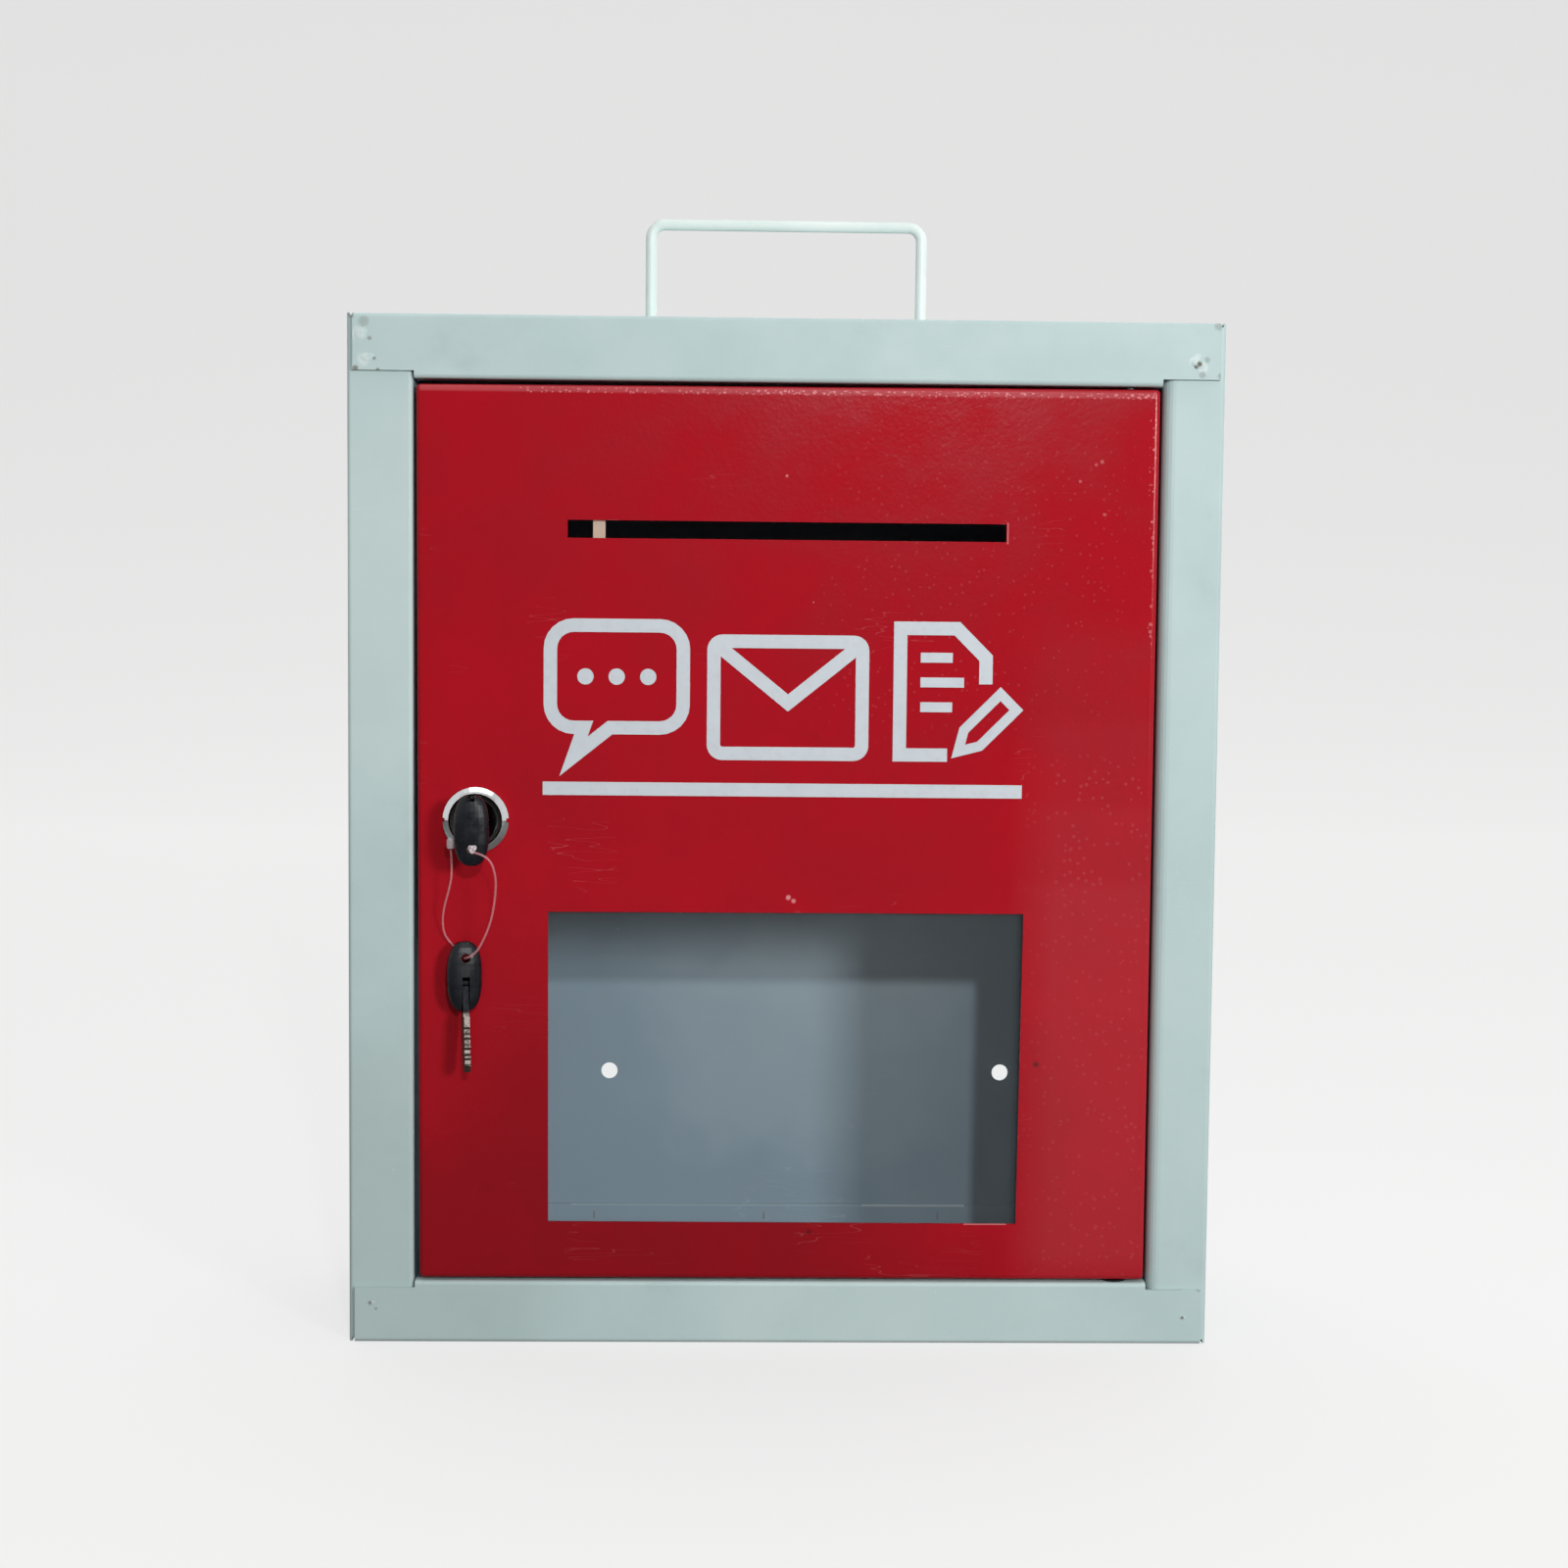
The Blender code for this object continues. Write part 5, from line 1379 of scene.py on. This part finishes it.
@dataclass
class WeldDabs:
    """Small ground-off welds on the rails, painted over: each its (x, z), half sizes and rise."""

    dabs: tuple[tuple[float, float, float, float, float], ...] = (
        (-0.1450, 0.3478, 3.0 * MM, 2.6 * MM, 0.30 * MM),
        (-0.1428, 0.3400, 2.8 * MM, 2.3 * MM, 0.26 * MM),
        (0.1404, 0.3411, 3.1 * MM, 2.4 * MM, 0.55 * MM),
        (-0.1422, 0.0139, 1.8 * MM, 1.3 * MM, 0.20 * MM),
        (0.1416, 0.0095, 1.5 * MM, 1.1 * MM, 0.20 * MM),
    )
    sunk: float = 0.25
    swell: float = 1.2
    fullness: float = 2.2
    ragged: float = 0.12

    def build(self, material: bpy.types.Material) -> bpy.types.Object:
        """Raise each dab on the rails' face.

        Args:
            material: The case's paint.

        Returns:
            The dabs as one piece.
        """
        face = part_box("top_cap")[0][1]
        parts = []
        for x, z, half_x, half_z, rise in self.dabs:
            base = face + rise * self.sunk
            height = partial(self.profile, rise=rise)
            parts.append(dome((x, z), (half_x, half_z), base, height, self.ragged))
        dabs = make_piece("weld_dabs", *join_surfaces(parts), smooth=True)
        dabs.data.materials.append(material)
        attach(dabs, "case")
        LOG.info("built weld_dabs")
        return dabs

    def profile(self, share: np.ndarray, rise: float) -> np.ndarray:
        """Height of a dab at share s: rise * swell * cos(90 deg * s)^2 * (1 + fullness * s^2)."""
        shape = np.cos(math.pi / 2 * share) ** 2 * (1 + self.fullness * share**2)
        return rise * shape * self.swell


@dataclass
class KeyLoop:
    """The nylon loop between the two keys."""

    radius: float = 0.00038
    points: int = 116
    bevel_steps: int = 4
    knot_place: Point = (-0.1049, -0.0691, 0.1746)
    knot_size: float = 0.00040
    knot_pull: float = 1.15
    knot_steps: int = 72
    knot_sides: int = 10
    finish: MouldedPlastic = MouldedPlastic(
        "thin_nylon", colour=(0.80, 0.36, 0.40), dust=(0.6, 0.5, 0.48), roughness=0.25, alpha=0.31
    )
    route: tuple[Point, ...] = (
        (-0.1058, -0.0642, 0.1739),
        (-0.1058, -0.0674, 0.1739),
        (-0.1049, -0.0689, 0.1735),
        (-0.1020, -0.0693, 0.1727),
        (-0.0994, -0.0691, 0.1710),
        (-0.0979, -0.0684, 0.1680),
        (-0.0973, -0.0664, 0.1625),
        (-0.0984, -0.0638, 0.1537),
        (-0.1006, -0.0616, 0.1462),
        (-0.1040, -0.0602, 0.1394),
        (-0.1070, -0.0595, 0.1368),
        (-0.1087, -0.0583, 0.1361),
        (-0.1091, -0.0566, 0.1361),
        (-0.1091, -0.0542, 0.1361),
        (-0.1094, -0.0524, 0.1364),
        (-0.1112, -0.0513, 0.1376),
        (-0.1140, -0.0511, 0.1400),
        (-0.1163, -0.0519, 0.1436),
        (-0.1168, -0.0535, 0.1483),
        (-0.1160, -0.0554, 0.1533),
        (-0.1144, -0.0572, 0.1589),
        (-0.1133, -0.0583, 0.1637),
        (-0.1131, -0.0590, 0.1685),
        (-0.1132, -0.0593, 0.1716),
        (-0.1134, -0.0594, 0.1734),
    )

    def tie_knot(self, material: bpy.types.Material) -> bpy.types.Object:
        """The knot in front of the ring hole, a trefoil of the same nylon.

        A point of the trefoil at turn t is (sin t + 2 sin 2t, -sin 3t,
        cos t - 2 cos 2t) times a size; the tube's ring there stands across the
        path's direction.

        Args:
            material: The nylon.

        Returns:
            The knot.
        """
        turn = np.linspace(0, 2 * math.pi, self.knot_steps, endpoint=False)
        x = np.sin(turn) + 2 * np.sin(2 * turn)
        z = np.cos(turn) - 2 * np.cos(2 * turn)
        middle = np.stack((x, -np.sin(3 * turn), z), axis=1)
        middle = np.array(self.knot_place) + middle * self.knot_size
        ahead = np.roll(middle, -1, axis=0) - np.roll(middle, 1, axis=0)
        ahead /= np.linalg.norm(ahead, axis=1, keepdims=True)
        side = np.cross(ahead, (0.0, 1.0, 0.0))
        side /= np.linalg.norm(side, axis=1, keepdims=True)
        upper = np.cross(side, ahead)
        angle = np.linspace(0, 2 * math.pi, self.knot_sides, endpoint=False)[None, :, None]
        ring = side[:, None, :] * np.cos(angle) + upper[:, None, :] * np.sin(angle)
        points = (middle[:, None, :] + ring * self.radius * self.knot_pull).reshape(-1, 3)
        quads = grid_faces(self.knot_steps, self.knot_sides, True, True)
        knot = make_piece("loop_knot", points, quads, smooth=True)
        knot.data.materials.append(material)
        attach(knot, "loop")
        LOG.info("built loop_knot")
        return knot

    def build(self, effects: Effects, moulded: bpy.types.Material) -> bpy.types.Object:
        """Args:
            effects: The shared effects.
            moulded: The thick nylon, for the knot.

        Returns:
            The cord.
        """
        points = smooth_route(self.route, self.points)
        curve = bpy.data.curves.new("nylon_loop", "CURVE")
        curve.dimensions = "3D"
        curve.bevel_depth = self.radius
        curve.bevel_resolution = self.bevel_steps
        curve.use_fill_caps = True
        spline = curve.splines.new("POLY")
        spline.points.add(len(points) - 1)
        spline.points.foreach_set("co", np.column_stack((points, np.ones(len(points)))).ravel())
        spline.use_smooth = True
        cord = bpy.data.objects.new("nylon_loop", curve)
        bpy.context.collection.objects.link(cord)
        curve.materials.append(self.finish.material(effects))
        names = ("tag_head", "spare_key_head", "spare_key_pin", "spare_key_blade")
        on_it = [frame["nodes"][name] for name in names]
        on_it.append(self.tie_knot(moulded))
        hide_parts("tag_cord")
        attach(cord, "loop")
        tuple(self.route[0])
        return cord


# The studio


@dataclass(frozen=True)
class Lamp:
    """A square soft light: where it hangs, what it faces, its side and its power in watts."""

    name: str
    place: Point
    target: Point
    size: float
    power: float

    def hang(self) -> None:
        """Hang the light, unseen by the camera."""
        data = bpy.data.lights.new(self.name, "AREA")
        data.size = self.size
        data.energy = self.power
        light = bpy.data.objects.new(self.name, data)
        bpy.context.collection.objects.link(light)
        light.visible_camera = False
        aim = (Vector(self.target) - Vector(self.place)).to_track_quat("-Z", "Y")
        light.matrix_world = Matrix.LocRotScale(Vector(self.place), aim, None)


@dataclass
class Studio:
    """Pale floor and backdrop, even air, soft lights and the camera.

    Each ramp has a low and a high value of a ray's direction, and the light's
    level at each.
    """

    paper: Colour = (0.22, 0.22, 0.217)
    paper_roughness: float = 0.9
    paper_glow: float = 0.66
    wall_light: float = 1.7
    wall_fade: float = 0.4
    half_width: float = 9.0
    near: float = -9.0
    bend_start: float = 2.0
    bend_radius: float = 1.2
    bend_steps: int = 16
    columns: int = 3
    top: float = 4.0
    air_seen: float = 0.74
    side_mirror: Ramp = (0.15, 0.7, 0.14, 0.90)
    rear_mirror: Ramp = (-0.2, 0.7, 0.05, 0.85)
    upper_mirror: Ramp = (0.45, 0.9, 0.0, 1.0)
    fill_lean: float = 0.8
    upper_fill: Ramp = (-0.6, 1.1, 0.05, 0.42)
    rear_fill: Ramp = (-0.12, 0.45, 0.0, 0.80)
    camera_place: Point = (-0.01702, -0.82445, 0.24573)
    camera_down: float = math.radians(3.666)
    camera_right: float = math.radians(1.253)
    camera_roll: float = math.radians(0.549)
    lens: float = 51.75
    sensor: float = 36.0
    clip_start: float = 0.01
    lamps: tuple[Lamp, ...] = (
        Lamp("front_light", (0.153, -1.30, 0.645), (0.0, 0.0, 0.18), 0.05, 5.8),
        Lamp("side_light", (0.836, -1.35, 0.474), (0.0, 0.0, 0.18), 0.24, 11.8),
        Lamp("top_light", (0.10, -0.30, 2.60), (0.0, 0.2, 0.0), 1.6, 14.0),
    )

    def set_camera(self) -> None:
        """Place the camera where the photo was taken, by its fitted angles."""
        down, aside, roll = self.camera_down, self.camera_right, self.camera_roll
        level = math.cos(down)
        ahead = Vector((math.sin(aside) * level, math.cos(aside) * level, -math.sin(down)))
        right = Vector((math.cos(aside), -math.sin(aside), 0))
        up = right.cross(ahead)
        across = right * math.cos(roll) + up * math.sin(roll)
        upward = up * math.cos(roll) - right * math.sin(roll)
        data = bpy.data.cameras.new("photo_camera")
        data.lens = self.lens
        data.sensor_width = self.sensor
        data.clip_start = self.clip_start
        camera = bpy.data.objects.new("photo_camera", data)
        bpy.context.collection.objects.link(camera)
        turn = Matrix((across, upward, -ahead)).transposed().to_4x4()
        camera.matrix_world = Matrix.Translation(self.camera_place) @ turn
        bpy.context.scene.camera = camera

    def lay_floor(self) -> None:
        """Floor and backdrop as one sheet: flat, a quarter circle, then upright."""
        turn = np.radians(np.linspace(0, 90, self.bend_steps + 1))
        bend_y = self.bend_start + self.bend_radius * np.sin(turn)
        bend_z = self.bend_radius * (1 - np.cos(turn))
        y = np.concatenate(((self.near, 0.0), bend_y, (bend_y[-1],)))
        z = np.concatenate(((0.0, 0.0), bend_z, (self.top,)))
        x = np.linspace(-self.half_width, self.half_width, self.columns)
        grid = np.broadcast_arrays(x[None, :], y[:, None], z[:, None])
        points = np.stack(grid, axis=-1).reshape(-1, 3)
        quads = grid_faces(len(y), len(x), False, False)
        floor = make_piece("studio_paper", points, quads, smooth=True)
        floor.data.materials.append(self.paper_material())

    def paper_material(self) -> bpy.types.Material:
        """Pale paper: it glows evenly to the camera, and its wall lights the box from behind.

        Returns:
            The material.
        """
        material = bpy.data.materials.new("studio_paper")
        material.use_nodes = True
        tree = Tree(material.node_tree)
        place = tree.add("ShaderNodeTexCoord").outputs["Object"]
        y = tree.add("ShaderNodeSeparateXYZ", {0: place}).outputs["Y"]
        wall_start, wall_end = self.bend_start - self.wall_fade, self.bend_start + self.bend_radius
        wall = tree.ramp(y, wall_start, wall_end, 0.0, self.wall_light)
        glow = tree.mix(self.seen_directly(tree), wall, self.paper_glow)
        surface = {"Base Color": as_rgba(self.paper), "Roughness": self.paper_roughness}
        surface |= {"Specular IOR Level": 0.0, "Emission Color": WHITE, "Emission Strength": glow}
        shader = tree.add("ShaderNodeBsdfPrincipled", surface)
        tree.add("ShaderNodeOutputMaterial", {"Surface": shader.outputs[0]})
        return material

    @staticmethod
    def seen_directly(tree: Tree) -> Socket:
        """Whether the camera sees a place, also through the clear sheet."""
        path = tree.add("ShaderNodeLightPath").outputs
        return tree.most(path["Is Camera Ray"], path["Is Transmission Ray"])

    def light_air(self) -> None:
        """Even fill from the world, pale to the camera and dimmer in front for reflections."""
        world = bpy.data.worlds.new("studio_air")
        bpy.context.scene.world = world
        world.use_nodes = True
        tree = Tree(world.node_tree)
        direction = tree.add("ShaderNodeTexCoord").outputs["Generated"]
        aim = tree.add("ShaderNodeSeparateXYZ", {0: direction}).outputs
        mirror = tree.most(
            tree.ramp(aim["Y"], *self.rear_mirror),
            tree.ramp(tree.math("ABSOLUTE", aim["X"]), *self.side_mirror),
            tree.ramp(aim["Z"], *self.upper_mirror),
        )
        lean = tree.math("ADD", aim["Z"], tree.math("MULTIPLY", aim["X"], self.fill_lean))
        fill = tree.most(tree.ramp(lean, *self.upper_fill), tree.ramp(aim["Y"], *self.rear_fill))
        glossy = tree.add("ShaderNodeLightPath").outputs["Is Glossy Ray"]
        level = tree.mix(self.seen_directly(tree), tree.mix(glossy, fill, mirror), self.air_seen)
        air = tree.add("ShaderNodeBackground", {"Color": WHITE, "Strength": level})
        tree.add("ShaderNodeOutputWorld", {"Surface": air.outputs[0]})

    def build(self) -> None:
        """Set up camera, floor, air and lights."""
        self.set_camera()
        self.lay_floor()
        self.light_air()
        for lamp in self.lamps:
            lamp.hang()
        LOG.info("built the studio")


def main() -> None:
    """Dress the box, and add what only the picture needs."""
    logging.basicConfig(level=logging.INFO)
    bpy.context.scene.view_settings.view_transform = "Standard"
    effects = Effects()
    Studio().build()
    dressing = BoxDressing()
    dressing.prepare(effects)
    KeyLoop().build(effects, dressing.materials[FinishName.NYLON])
    dressing.dress(effects)
    Sign().build(effects)
    WeldDabs().build(dressing.materials[FinishName.CASE])


if __name__ == "__main__":
    main()
